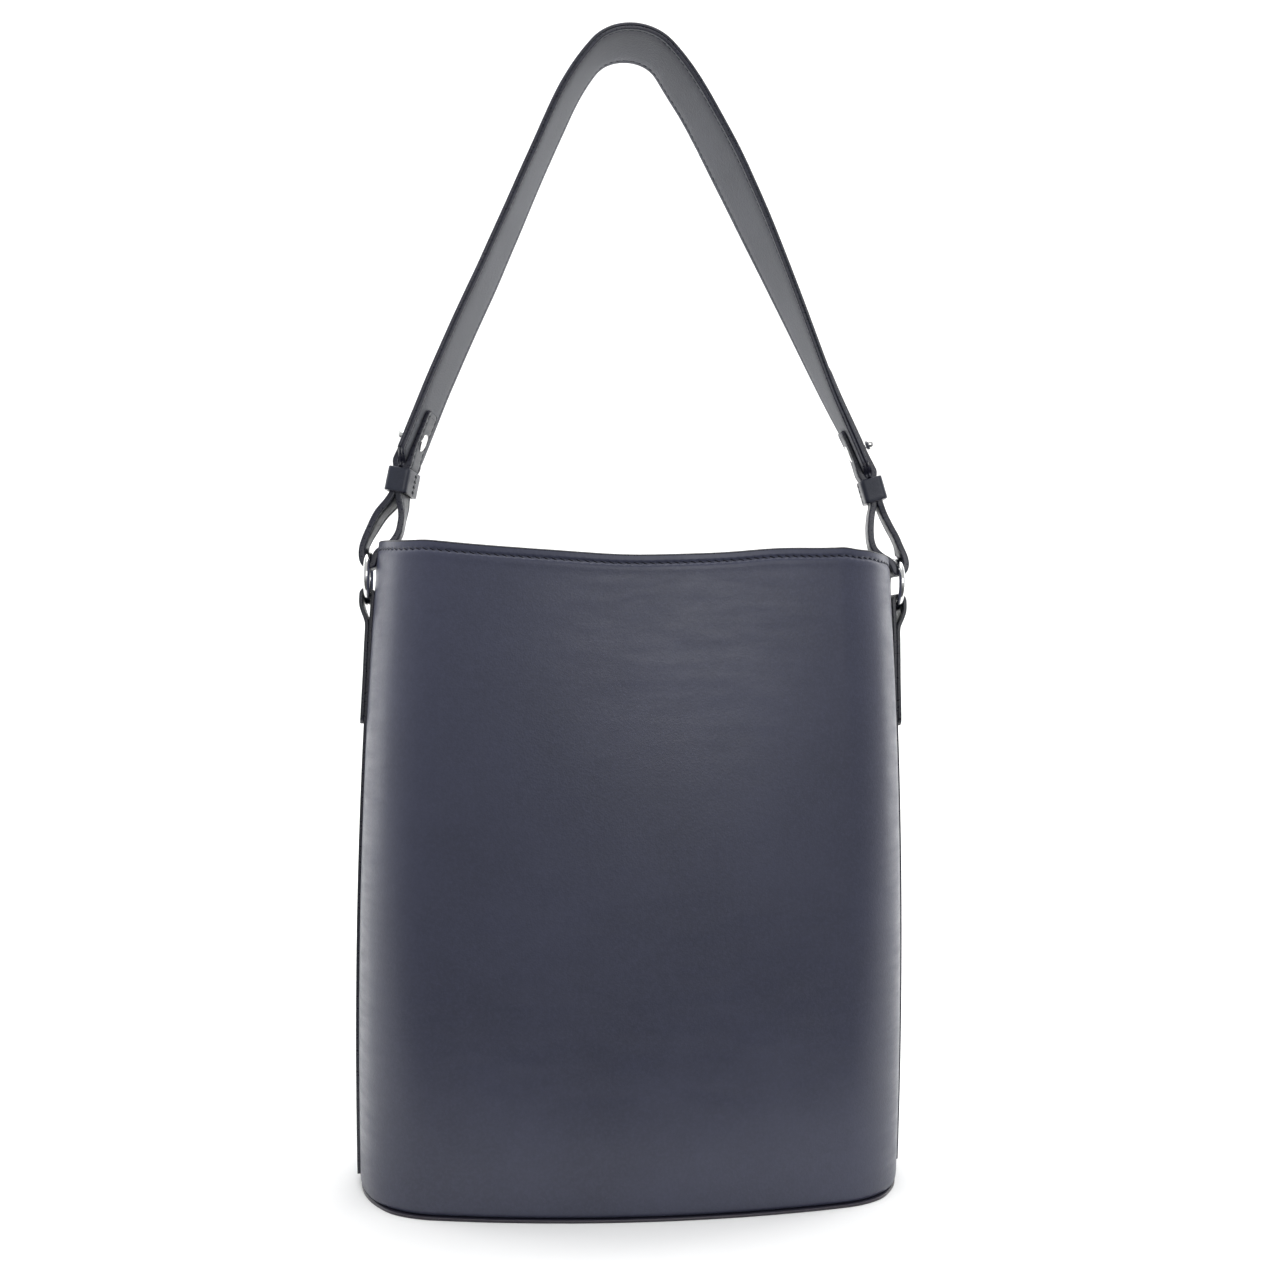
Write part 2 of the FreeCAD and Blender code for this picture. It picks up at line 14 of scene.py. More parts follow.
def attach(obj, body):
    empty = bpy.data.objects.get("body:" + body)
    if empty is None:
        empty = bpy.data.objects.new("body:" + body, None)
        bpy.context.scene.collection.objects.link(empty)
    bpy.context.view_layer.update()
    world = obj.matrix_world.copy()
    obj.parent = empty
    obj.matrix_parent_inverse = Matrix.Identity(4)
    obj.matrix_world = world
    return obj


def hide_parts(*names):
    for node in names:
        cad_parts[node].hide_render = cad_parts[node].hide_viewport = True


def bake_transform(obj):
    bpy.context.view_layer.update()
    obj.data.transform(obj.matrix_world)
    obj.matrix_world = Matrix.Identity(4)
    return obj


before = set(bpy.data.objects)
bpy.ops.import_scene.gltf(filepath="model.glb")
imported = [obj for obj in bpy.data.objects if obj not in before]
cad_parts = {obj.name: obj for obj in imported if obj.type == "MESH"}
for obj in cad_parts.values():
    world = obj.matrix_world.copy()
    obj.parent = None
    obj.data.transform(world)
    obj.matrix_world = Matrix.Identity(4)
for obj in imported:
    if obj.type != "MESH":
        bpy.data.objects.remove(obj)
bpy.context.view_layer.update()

MM = 0.001

# ----------------------------------------------------------------- driving sizes, as in the CAD source (mm)
HALF_WIDTH = (130.5, 132.0, 125.2)      # at the floor, at half height and at the top
HALF_DEPTH = (65.5, 66.5, 63.5)
SHAPE_HEIGHTS = (0.0, 150.0, 310.0)
SIDE_RADIUS, CORNER_RADIUS, FRONT_RADIUS = 80.0, 43.0, 450.0
SEAM_HALF_GAP = 0.1
PANEL = 1.8
RIM_CENTRE, RIM_CREST, RIM_SIDE = 300.0, 305.3, 300.2
RIM_CREST_X, RIM_SIDE_X = 99.0, 126.0
BASE = 2.4
TURN_IN, TURN_IN_WIDTH = 1.6, 12.0
FACING_IN, FACING_OUT, FACING_LOW = 3.45, 1.85, 262.0
LINING_IN, LINING_OUT = 2.85, 2.0
LINING_FLOOR = 6.0
STRIP_WIDTH, STRIP, STRIP_GAP, STRIP_FOOT = 16.0, 1.8, 0.35, 5.0
TAB_LOW, TAB_JOIN, TUNNEL_LOW, TUNNEL_HALF = 220.0, 270.5, 276.5, 1.9
TAB_STAND_OFF = {1: 1.2, -1: -0.1}      # right and left: the left ring hangs closer to the bag
STRIP_PRESSED = {1: 0.0, -1: 0.7}       # how far each side strip is pressed into the wall
RING_Z, RING_RADIUS, RING_WIRE = 291.35, 12.5, 1.5
LEAN = math.radians(22.5)
CHAPE_WIDTH, CHAPE = 18.0, 3.0
CHAPE_NEAR, CHAPE_WIDE = 1.65, 3.35     # a leg's middle from the strap's middle line, pinched and beside it
# distances up the loop strap; the inner legs end lower, at their own heights right and left
STRAP_END, STUD_ALONG, OUTER_TIP, TIP_ROUND = 54.0, 62.9, 107.9, 6.0
INNER_TIPS = {1: 74.5, -1: 78.0}
KEEPER_LOW, KEEPER_TALL, KEEPER = 35.1, 12.0, 1.5
KEEPER_SLOT_N, KEEPER_SLOT_W = 3.3, 9.3
KEEPER_FULLER, KEEPER_WIDER = 0.45, 0.35  # how much thicker its leather and wider its slot are here
STRAP_WIDTH, STRAP_LAYER = 38.0, 1.68
STRAP_APEX, APEX_RADIUS, SHOULDER_RADIUS = 562.6, 22.2, 197.0
APEX_LEAN, SHOULDER_LEAN = math.radians(36.0), math.radians(27.0)
STUD_SEAT = 4.85

STITCH_PITCH, TRIM_PITCH = 3.75, 3.4    # on the rim, and on the strips and straps
TRIM_THREAD = 0.32                        # radius of the thread there
SEAM_FROM_RIM, FACING_SEAM_UP = 4.0, 3.0


# ----------------------------------------------------------------- small mathematics
def smooth(low, high, value):
    """0 below low, 1 above high, with a soft change between."""
    share = np.clip((value - low) / (high - low), 0.0, 1.0)
    return share * share * (3.0 - 2.0 * share)


def unit(vectors):
    return vectors / np.linalg.norm(vectors, axis=-1, keepdims=True)


def at_heights(values, z):
    """Quadratic through the three shape heights."""
    low, mid, high = values
    z1, z2 = SHAPE_HEIGHTS[1:]
    slope = (mid - low) / z1
    bend = (high - low - slope * z2) / (z2 * (z2 - z1))
    return low + slope * z + bend * z * (z - z1)


def reaches(points):
    """Distance of each point of a polyline from its start."""
    return np.concatenate(([0.0], np.cumsum(np.linalg.norm(np.diff(points, axis=0), axis=1))))


def blip(distance, width):
    """1 where the distance is 0, falling softly to nothing past the width."""
    return np.exp(-((distance / width) ** 2))


def at_distance(distance, reach, table):
    """The rows of a table at distances along its line."""
    return np.stack([np.interp(distance, reach, table[:, k]) for k in range(table.shape[1])], axis=-1)


def along_line(points, step):
    """A polyline resampled at about equal steps: points, and each one's distance from the start."""
    reach = reaches(points)
    count = max(2, int(round(reach[-1] / step)) + 1)
    wanted = np.linspace(0.0, reach[-1], count)
    return at_distance(wanted, reach, points), wanted


def curve_through(points, per_span=24):
    """Catmull-Rom curve through the points, centripetal, so that it doesn't overshoot."""
    points = np.array(points, float)
    padded = np.vstack([2 * points[0] - points[1], points, 2 * points[-1] - points[-2]])
    out = []
    for k in range(1, len(padded) - 2):
        p0, p1, p2, p3 = padded[k - 1:k + 3]
        t0 = 0.0
        t1 = t0 + np.linalg.norm(p1 - p0) ** 0.5
        t2 = t1 + np.linalg.norm(p2 - p1) ** 0.5
        t3 = t2 + np.linalg.norm(p3 - p2) ** 0.5
        for t in np.linspace(t1, t2, per_span, endpoint=False):
            a1 = (t1 - t) / (t1 - t0) * p0 + (t - t0) / (t1 - t0) * p1
            a2 = (t2 - t) / (t2 - t1) * p1 + (t - t1) / (t2 - t1) * p2
            a3 = (t3 - t) / (t3 - t2) * p2 + (t - t2) / (t3 - t2) * p3
            b1 = (t2 - t) / (t2 - t0) * a1 + (t - t0) / (t2 - t0) * a2
            b2 = (t3 - t) / (t3 - t1) * a2 + (t - t1) / (t3 - t1) * a3
            out.append((t2 - t) / (t2 - t1) * b1 + (t - t1) / (t2 - t1) * b2)
    out.append(points[-1])
    return np.array(out)


def turned(points, side):
    """The front half's points on the given side: 1 is the front, -1 the back, turned half round about Z."""
    return points * np.array([side, side, 1.0])


# ----------------------------------------------------------------- shader building
class Shader:
    """A Principled material with short helpers for its texture nodes."""

    def __init__(self, name, **constants):
        self.material = bpy.data.materials.new(name)
        self.material.use_nodes = True
        self.tree = self.material.node_tree
        self.principled = self.tree.nodes["Principled BSDF"]
        for label, value in constants.items():
            self.feed(self.principled.inputs[label.replace("_", " ")], value)
        self.place = self.tree.nodes.new("ShaderNodeTexCoord").outputs["Object"]

    def feed(self, target, value):
        """Links another node's output to an input, or sets the input to a plain value."""
        if isinstance(value, bpy.types.NodeSocket):
            self.tree.links.new(value, target)
        else:
            target.default_value = value

    def node(self, kind, **inputs):
        """A new node; an input's name is given with _ for each space."""
        made = self.tree.nodes.new(kind)
        for label, value in inputs.items():
            self.feed(made.inputs[label.replace("_", " ")], value)
        return made

    def stretch(self, scale):
        """Object coordinates scaled by a different amount along each axis."""
        return self.node("ShaderNodeMapping", Vector=self.place, Scale=scale).outputs["Vector"]

    def noise(self, scale, detail=3.0, rough=0.5, vector=None):
        made = self.node("ShaderNodeTexNoise", Vector=vector or self.place, Scale=scale, Detail=detail,
                         Roughness=rough)
        return made.outputs["Fac"]

    def cells(self, scale, feature="F1"):
        made = self.node("ShaderNodeTexVoronoi", Vector=self.place, Scale=scale)
        made.feature = feature
        return made.outputs["Distance"]

    def spread(self, value, low, high, out_low=0.0, out_high=1.0):
        """The value's range low to high stretched to out_low to out_high."""
        made = self.node("ShaderNodeMapRange", Value=value, From_Min=low, From_Max=high, To_Min=out_low,
                         To_Max=out_high)
        return made.outputs["Result"]

    def maths(self, operation, first, second):
        made = self.tree.nodes.new("ShaderNodeMath")
        made.operation = operation
        for index, value in enumerate((first, second)):
            self.feed(made.inputs[index], value)
        return made.outputs["Value"]

    def mix(self, share, first, second):
        made = self.tree.nodes.new("ShaderNodeMix")
        made.data_type = "RGBA"
        for label, value in (("Factor", share), ("A", first), ("B", second)):
            self.feed(next(i for i in made.inputs if i.name == label and i.enabled), value)
        return next(o for o in made.outputs if o.enabled)

    def tones(self, value, low, high, tint, darker, paler):
        """The tint, from darker to paler as the value goes from low to high."""
        return self.mix(self.spread(value, low, high), rgb(*tint, darker), rgb(*tint, paler))

    def height(self):
        return self.node("ShaderNodeSeparateXYZ", Vector=self.place).outputs["Z"]

    def lighter(self, value, gain):
        """The same colour made brighter by gain."""
        return self.node("ShaderNodeHueSaturation", Value=gain, Color=value).outputs["Color"]

    def colour(self, value):
        self.feed(self.principled.inputs["Base Color"], value)

    def roughness(self, value):
        self.feed(self.principled.inputs["Roughness"], value)

    def bump(self, height, strength, distance, after=None):
        """Adds a bump; several are chained through after."""
        made = self.node("ShaderNodeBump", Height=height, Strength=strength, Distance=distance)
        if after is not None:
            self.feed(made.inputs["Normal"], after)
        self.feed(self.principled.inputs["Normal"], made.outputs["Normal"])
        return made.outputs["Normal"]


def rgb(red, green, blue, gain=1.0):
    return (red * gain, green * gain, blue * gain, 1.0)


PEBBLE = 1150.0                           # pebbles of the smooth leather in a metre


def leather(name, tint, roughness, grain=0.12, painted_top_light=None):
    """Smooth dyed calf: very fine pebble and pores, cloudy dye, uneven polish, a few faint rub marks.

    The last argument, if given, is (low, high, darker, paler): painted light, the colour going from darker to
    paler between those heights in metres, as the upper wall catches more of the light from above.
    """
    shader = Shader(name, Specular_IOR_Level=0.42, Coat_Weight=0.04, Coat_Roughness=0.35)
    clouds = shader.noise(14.0, 4.0, 0.55)
    mottle = shader.noise(160.0, 3.0, 0.6)
    pores = shader.cells(PEBBLE * 0.55, "SMOOTH_F1")
    pebble = shader.cells(PEBBLE)
    base = shader.tones(clouds, 0.3, 0.7, tint, 0.84, 1.16)
    flecked = shader.mix(shader.spread(mottle, 0.35, 0.75, 0.0, 0.35), base, rgb(*tint, 0.82))
    dipped = shader.mix(shader.spread(pebble, 0.0, 0.25, 0.22, 0.0), flecked, rgb(*tint, 0.6))
    speck = shader.noise(650.0, 3.0, 0.7)
    specks_and_painted_light = shader.mix(shader.spread(speck, 0.42, 0.72, 0.0, 0.40), dipped, rgb(*tint, 1.45))
    # painted light: the colour is made paler up the wall and darker towards the floor, standing in for the
    # light from above
    if painted_top_light:
        low, high, darker, paler = painted_top_light
        share = shader.spread(shader.height(), low, high)
        specks_and_painted_light = shader.mix(share, shader.lighter(specks_and_painted_light, darker), shader.lighter(specks_and_painted_light, paler))
    shader.colour(specks_and_painted_light)
    rubs = shader.noise(1.0, 5.0, 0.6, shader.stretch((38.0, 38.0, 190.0)))
    polish = shader.spread(rubs, 0.35, 0.75, roughness - 0.06, roughness + 0.08)
    shader.roughness(shader.maths("ADD", polish, shader.spread(pebble, 0.0, 0.5, 0.05, -0.02)))
    first = shader.bump(pebble, grain, 0.0003)
    second = shader.bump(shader.noise(2600.0, 2.0, 0.6), grain * 0.8, 0.0002, first)
    third = shader.bump(pores, grain * 0.5, 0.0004, second)
    shader.bump(shader.noise(55.0, 3.0, 0.5), 0.35, 0.0004, third)
    return shader.material


def grained_leather(name, tint, roughness):
    """Matt fine-grained leather for the strap's inner face."""
    shader = Shader(name, Specular_IOR_Level=0.35, Sheen_Weight=0.05, Sheen_Roughness=0.5)
    grain = shader.cells(1050.0)
    crease = shader.noise(360.0, 4.0, 0.65)
    clouds = shader.noise(30.0, 4.0, 0.6)
    base = shader.tones(clouds, 0.3, 0.7, tint, 0.9, 1.08)
    speckled = shader.mix(shader.spread(grain, 0.05, 0.4, 0.60, 0.0), base, rgb(*tint, 0.55))
    shader.colour(shader.mix(shader.spread(crease, 0.35, 0.7, 0.0, 0.4), speckled, rgb(*tint, 1.35)))
    shader.roughness(shader.spread(crease, 0.3, 0.7, roughness - 0.06, roughness + 0.08))
    first = shader.bump(grain, 0.35, 0.0004)
    shader.bump(crease, 0.3, 0.0005, first)
    return shader.material


def edge_paint(name, tint, roughness=0.38):
    """Edge dye in a few brushed coats: glossy, a little uneven along the edge."""
    shader = Shader(name, Specular_IOR_Level=0.50, Coat_Weight=0.04, Coat_Roughness=0.3)
    flow = shader.noise(260.0, 3.0, 0.5)
    thin = shader.noise(900.0, 2.0, 0.5)
    shader.colour(shader.tones(flow, 0.3, 0.7, tint, 0.8, 1.25))
    shader.roughness(shader.spread(thin, 0.3, 0.7, roughness - 0.06, roughness + 0.08))
    shader.bump(flow, 0.25, 0.0003)
    return shader.material


def thread(name, tint):
    """Waxed twisted thread."""
    shader = Shader(name, Specular_IOR_Level=0.3, Sheen_Weight=0.03, Sheen_Roughness=0.4)
    ply = shader.noise(1.0, 2.0, 0.5, shader.stretch((5200.0, 5200.0, 3000.0)))
    shader.colour(shader.tones(ply, 0.35, 0.65, tint, 0.7, 1.3))
    shader.roughness(shader.spread(ply, 0.3, 0.7, 0.5, 0.7))
    shader.bump(ply, 0.5, 0.0002)
    return shader.material


def suede_cloth(name, tint):
    """Brushed lining cloth: a fine weave under a short nap."""
    shader = Shader(name, Sheen_Weight=0.45, Sheen_Roughness=0.45)
    weave = shader.node("ShaderNodeTexChecker", Vector=shader.place, Scale=1500.0).outputs["Fac"]
    nap = shader.noise(1100.0, 3.0, 0.6)
    brushed = shader.noise(1.0, 4.0, 0.6, shader.stretch((45.0, 45.0, 18.0)))
    base = shader.tones(brushed, 0.35, 0.65, tint, 0.86, 1.14)
    fuzzy = shader.mix(shader.spread(nap, 0.3, 0.7, 0.0, 0.5), base, rgb(*tint, 0.72))
    shader.colour(shader.mix(shader.maths("MULTIPLY", weave, 0.12), fuzzy, rgb(*tint, 0.6)))
    shader.roughness(shader.spread(nap, 0.3, 0.7, 0.82, 0.95))
    first = shader.bump(nap, 0.5, 0.0004)
    shader.bump(brushed, 0.2, 0.0008, first)
    return shader.material


def polished_metal(name, tint, roughness=0.07):
    """Polished nickel plate with faint handling marks."""
    shader = Shader(name, Metallic=1.0)
    haze = shader.noise(190.0, 4.0, 0.6)
    lines = shader.noise(1.0, 3.0, 0.6, shader.stretch((900.0, 900.0, 6000.0)))
    shader.colour(shader.tones(haze, 0.35, 0.7, tint, 1.0, 0.93))
    marked = shader.maths("ADD", shader.spread(haze, 0.4, 0.7, roughness, roughness + 0.07),
                          shader.spread(lines, 0.62, 0.75, 0.0, 0.08))
    shader.roughness(marked)
    shader.bump(lines, 0.06, 0.0001)
    return shader.material


def fibre_board(name):
    """Pressed board: brown fibres with darker flecks."""
    shader = Shader(name, Roughness=0.85)
    fibres = shader.noise(1.0, 5.0, 0.65, shader.stretch((300.0, 900.0, 900.0)))
    flecks = shader.cells(420.0)
    base = shader.mix(shader.spread(fibres, 0.3, 0.7), rgb(0.20, 0.15, 0.10), rgb(0.36, 0.28, 0.20))
    shader.colour(shader.mix(shader.spread(flecks, 0.0, 0.3, 0.4, 0.0), base, rgb(0.14, 0.10, 0.07)))
    shader.bump(fibres, 0.5, 0.0006)
    return shader.material


NAVY = (0.0380, 0.0412, 0.0690)
# the last tuple paints light on the wall: paler towards the rim, darker towards the floor
PANEL_LEATHER = leather("panel_calf", NAVY, 0.40, grain=0.10, painted_top_light=(0.06, 0.305, 0.90, 1.32))
BASE_LEATHER = leather("base_calf", (0.016, 0.016, 0.026), 0.45)
FACING_LEATHER = leather("facing_calf", NAVY, 0.44, grain=0.08)
TRIM_LEATHER = leather("trim_calf", (0.024, 0.028, 0.043), 0.44)
STRAP_LEATHER = leather("strap_calf", (0.024, 0.028, 0.044), 0.43)
STRAP_INNER = grained_leather("strap_inner_calf", (0.105, 0.110, 0.128), 0.58)
KEEPER_LEATHER = leather("keeper_calf", (0.026, 0.030, 0.048), 0.42)
EDGE = edge_paint("edge_dye", (0.012, 0.013, 0.023), 0.30)
STRAP_EDGE = edge_paint("strap_edge_dye", (0.021, 0.022, 0.037), 0.30)
BASE_EDGE = edge_paint("base_edge_dye", (0.014, 0.010, 0.019))
THREAD = thread("waxed_thread", (0.006, 0.007, 0.014))
LINING = suede_cloth("suede_lining", (0.060, 0.063, 0.080))
RING_METAL = polished_metal("ring_nickel", (0.80, 0.80, 0.80))
STUD_METAL = polished_metal("stud_nickel", (0.80, 0.80, 0.79), 0.10)
BOARD = fibre_board("pressed_board")


# ----------------------------------------------------------------- mesh building
def make_piece(name, points, faces, materials, body=None, nodes=(), face_slots=None):
    """A smooth-shaded mesh object from points in mm."""
    mesh = bpy.data.meshes.new(name)
    mesh.from_pydata((np.asarray(points, float).reshape(-1, 3) * MM).tolist(), [], [tuple(f) for f in faces])
    for material in materials:
        mesh.materials.append(material)
    if face_slots is not None:
        mesh.polygons.foreach_set("material_index", np.asarray(face_slots, np.int32))
    mesh.validate()
    mesh.shade_smooth()
    mesh.update()
    piece = bpy.data.objects.new(name, mesh)
    bpy.context.scene.collection.objects.link(piece)
    if body is not None:
        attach(piece, body)
    if nodes:
        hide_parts(*nodes)
    return piece


def loop_faces(loops, around, closed=False):
    """Quads joining a run of closed loops of the same length; closed joins the last to the first."""
    spans = loops if closed else loops - 1
    faces = []
    for row in range(spans):
        here = row * around
        there = ((row + 1) % loops) * around
        for k in range(around):
            after = (k + 1) % around
            faces.append((here + k, here + after, there + after, there + k))
    return faces


def end_faces(loops, around, inward=False):
    """One face over the first loop and one over the last, to go with loop_faces, or turned over."""
    last = (loops - 1) * around
    ends = [tuple(range(around)), tuple(range(last, last + around))[::-1]]
    return [face[::-1] for face in ends] if inward else ends


def cap_faces(start, around, flip):
    """Quads across a loop whose point k lies opposite point around - 1 - k."""
    faces = []
    for k in range(around // 2 - 1):
        quad = (start + k, start + around - 1 - k, start + around - 2 - k, start + k + 1)
        faces.append(quad[::-1] if flip else quad)
    return faces


def tube(points, radius, sides=6):
    """Points and faces of a round thread along a short path, closed at both ends."""
    points = np.asarray(points, float)
    run = unit(np.gradient(points, axis=0))
    helper = np.array([0.31, 0.52, 0.79])
    first = unit(np.cross(run, helper))
    second = np.cross(run, first)
    turns = np.linspace(0.0, 2 * math.pi, sides, endpoint=False)
    taper = np.ones(len(points))
    taper[0] = taper[-1] = 0.35
    cosines, sines = np.cos(turns), np.sin(turns)
    rings = [points[k] + radius * taper[k] * (np.outer(cosines, first[k]) + np.outer(sines, second[k]))
             for k in range(len(points))]
    faces = loop_faces(len(points), sides) + end_faces(len(points), sides, inward=True)
    return np.concatenate(rings), faces


class Stitches:
    """Collects the stitches of one piece of work, and makes them one object."""

    def __init__(self):
        self.points = []
        self.faces = []
        self.count = 0

    def add(self, centre, run, normal, length, radius, slant, rise):
        """One stitch: its ends dive into the leather, its middle stands rise above it."""
        across = np.cross(normal, run)
        stations = np.array([-0.5, -0.43, -0.25, 0.0, 0.25, 0.43, 0.5])
        heights = np.array([-0.55, -0.18, 0.0, 0.0, 0.0, -0.18, -0.55])
        path = [centre + run * (length * s) + across * (slant * s) + normal * (rise - radius + h)
                for s, h in zip(stations, heights)]
        points, faces = tube(path, radius)
        self.points.append(points)
        self.faces += [tuple(i + self.count for i in f) for f in faces]
        self.count += len(points)

    def row(self, line, normals, share, pitch=STITCH_PITCH, radius=0.30, slant=0.0, rise=0.12):
        """Stitches at about the pitch along a polyline, each lying on the surface whose normals are given."""
        reach = reaches(line)
        count = max(1, int(round(reach[-1] / pitch)))
        step = reach[-1] / count
        for k in range(count):
            middle = (k + 0.5) * step
            spots = [at_distance(middle + d, reach, line) for d in (-0.4, 0.0, 0.4)]
            normal = unit(at_distance(middle, reach, normals))
            run = unit(spots[2] - spots[0])
            normal = unit(normal - run * normal.dot(run))
            self.add(spots[1], run, normal, step * share, radius, slant, rise)

    def make(self, name, body=None):
        return make_piece(name, np.concatenate(self.points), self.faces, [THREAD], body)


def holes(distance, reach, pitch, total):
    """How deep, from 0 to 1, a row's needle holes draw the leather in, from the distance across the row."""
    step = total / max(1, int(round(total / pitch)))
    from_hole = np.abs((reach / step + 0.5) % 1.0 - 0.5) * step
    return blip(distance, 0.75) * blip(from_hole, 0.62)


# ----------------------------------------------------------------- the wall of the bag
def oval(z):
    """Circles of the outline's front right quarter at height z, and the angles where they meet."""
    side_x = at_heights(HALF_WIDTH, z) - SIDE_RADIUS
    front_y = FRONT_RADIUS - at_heights(HALF_DEPTH, z)
    reach_side = SIDE_RADIUS - CORNER_RADIUS
    reach_front = FRONT_RADIUS - CORNER_RADIUS
    span = np.hypot(side_x, front_y)
    along = (reach_front ** 2 - reach_side ** 2 + span ** 2) / (2 * span)
    across = np.sqrt(reach_front ** 2 - along ** 2)
    corner_x = along * side_x / span + across * front_y / span
    corner_y = front_y - along * front_y / span + across * side_x / span
    side_angle = np.arctan2(corner_y, corner_x - side_x)
    front_angle = np.arctan2(corner_y - front_y, corner_x)
    return side_x, corner_x, corner_y, front_y, side_angle, front_angle


def wall(turn, z, inset=0.0):
    """Points and outward normals of the front half wall. turn runs 0 to 5 from the right seam, 1 per arc."""
    turn, z, inset = np.broadcast_arrays(*(np.asarray(value, float) for value in (turn, z, inset)))
    left = turn > 2.5
    quarter = np.where(left, 5.0 - turn, turn)
    side_x, corner_x, corner_y, front_y, side_angle, front_angle = oval(z)
    seam = -math.asin(SEAM_HALF_GAP / SIDE_RADIUS)
    on_side = quarter < 1.0
    on_corner = quarter < 2.0
    angle = np.where(on_side, seam + (side_angle - seam) * quarter,
                     np.where(on_corner, side_angle + (front_angle - side_angle) * (quarter - 1.0),
                              front_angle + (-math.pi / 2 - front_angle) * (quarter - 2.0) * 2.0))
    centre_x = np.where(on_side, side_x, np.where(on_corner, corner_x, 0.0))
    centre_y = np.where(on_side, 0.0, np.where(on_corner, corner_y, front_y))
    radius = np.where(on_side, SIDE_RADIUS, np.where(on_corner, CORNER_RADIUS, FRONT_RADIUS)) - inset
    mirror = np.where(left, -1.0, 1.0)
    cosine, sine = np.cos(angle), np.sin(angle)
    normal = np.stack([cosine * mirror, sine, np.zeros_like(angle)], axis=-1)
    point = np.stack([(centre_x + radius * cosine) * mirror, centre_y + radius * sine, z], axis=-1)
    return point, normal


def even_turns(step, z=200.0):
    """Values of turn that lie about step apart round the half wall."""
    fine = np.linspace(0.0, 5.0, 4001)
    points, _ = wall(fine, z)
    reach = reaches(points)
    count = int(round(reach[-1] / step)) + 1
    return np.interp(np.linspace(0.0, reach[-1], count), reach, fine)


def rim_height(x):
    """Height of the rim over a place across the bag: a scoop, then a tighter arc down past the crest."""
    x = np.abs(x)
    rise = RIM_CREST - RIM_CENTRE
    scoop_radius = (RIM_CREST_X ** 2 + rise ** 2) / (2 * rise)
    scoop = RIM_CENTRE + scoop_radius - np.sqrt(scoop_radius ** 2 - np.minimum(x, RIM_CREST_X) ** 2)
    start = 2 * math.atan2(rise, RIM_CREST_X)
    run = RIM_SIDE_X - RIM_CREST_X
    fall = RIM_SIDE - RIM_CREST
    half_turn = start - math.atan2(fall, run)
    radius = math.hypot(run, fall) / 2 / math.sin(half_turn)
    centre_x = RIM_CREST_X + radius * math.sin(start)
    centre_z = RIM_CREST - radius * math.cos(start)
    beyond = np.clip(x, RIM_CREST_X, RIM_SIDE_X)
    shoulder = centre_z + np.sqrt(np.maximum(radius ** 2 - (beyond - centre_x) ** 2, 0.0))
    return np.where(x <= RIM_CREST_X, scoop, shoulder)


def rim_of(turn, side):
    """Height of the rim round one half: it stands higher at the left corners, a little lower at the right."""
    z = np.full_like(np.asarray(turn, float), RIM_CENTRE)
    for _ in range(4):
        x = wall(turn, z)[0][..., 0] * side
        lift = 6.2 * np.clip((-x - 104.0) / 20.0, 0.0, 1.0) ** 2.2 * (1.0 - smooth(124.2, 125.4, -x))
        dip = 1.5 * smooth(92.0, 103.0, x) * (1.0 - smooth(112.0, 122.0, x))
        sway = 1.4 * blip(x - 61.0, 21.0) - 0.9 * blip(x + 10.0, 25.0)
        z = rim_height(x) + lift - dip + sway
    return z


def wave(points, side):
    """Outward sway of the leather: broad, soft and under a millimetre; none at the seams, rim and base."""
    x, z = points[..., 0], points[..., 2]
    shift = 1.7 if side < 0 else 0.0
    broad = (0.40 * np.sin(x / 41.0 + 0.6 + shift) * np.sin(z / 78.0 + 0.4)
             + 0.26 * np.sin(x / 23.0 - z / 95.0 + 2.1 + shift)
             + 0.18 * np.cos(z / 31.0 + x / 60.0 + shift))
    fade = smooth(0.0, 45.0, z) * (1.0 - smooth(85.0, 120.0, np.abs(x)))
    return broad * fade * (1.0 - 0.75 * smooth(240.0, 300.0, z))


def wall_layer(turns, rim, levels, inset, side):
    """Grid of points on a layer of the wall, and normals; levels are distances below the rim's middle."""
    span = rim[:, None] - BASE
    z = rim[:, None] - np.asarray(levels)[None, :] * span / (RIM_CENTRE - BASE)
    points, normals = wall(turns[:, None], z)
    placed, _ = wall(turns[:, None], z, inset - wave(points, side))
    return turned(placed, side), turned(normals, side)


def graded(fine_to, fine_step, coarse_step, total):
    """Distances from 0 to total: even fine steps at first, then growing ones."""
    out = list(np.arange(0.0, fine_to, fine_step))
    step = fine_step
    while out[-1] < total - coarse_step:
        step = min(step * 1.22, coarse_step)
        out.append(out[-1] + step)
    out[-1] = total
    return np.array(out)


def seam_line(turns, rim, side, below, inset):
    """A line round the wall at a fixed distance below the rim, with its normals."""
    points, normals = wall_layer(turns, rim, [below], inset, side)
    return points[:, 0], normals[:, 0]


def sheet_solid(name, outer, inner, materials, node, edge_slot=0):
    """Closed solid between two grids of the same shape, [column][row]; rows run from top to bottom."""
    columns, rows = outer.shape[:2]
    loops = np.concatenate([outer, inner[:, ::-1]], axis=1)
    around = 2 * rows
    faces = loop_faces(columns, around)
    slots = [edge_slot if k % around in (rows - 1, around - 1) else 0 for k in range(len(faces))]
    caps = cap_faces(0, around, False) + cap_faces((columns - 1) * around, around, True)
    slots += [edge_slot] * len(caps)
    return make_piece(name, loops, faces + caps, materials, "bag", [node], slots)


def tunnel_faces(loops):
    """Faces of a solid given as [loop][point]: its sides and both ends."""
    count, around = loops.shape[:2]
    return loop_faces(count, around) + end_faces(count, around)


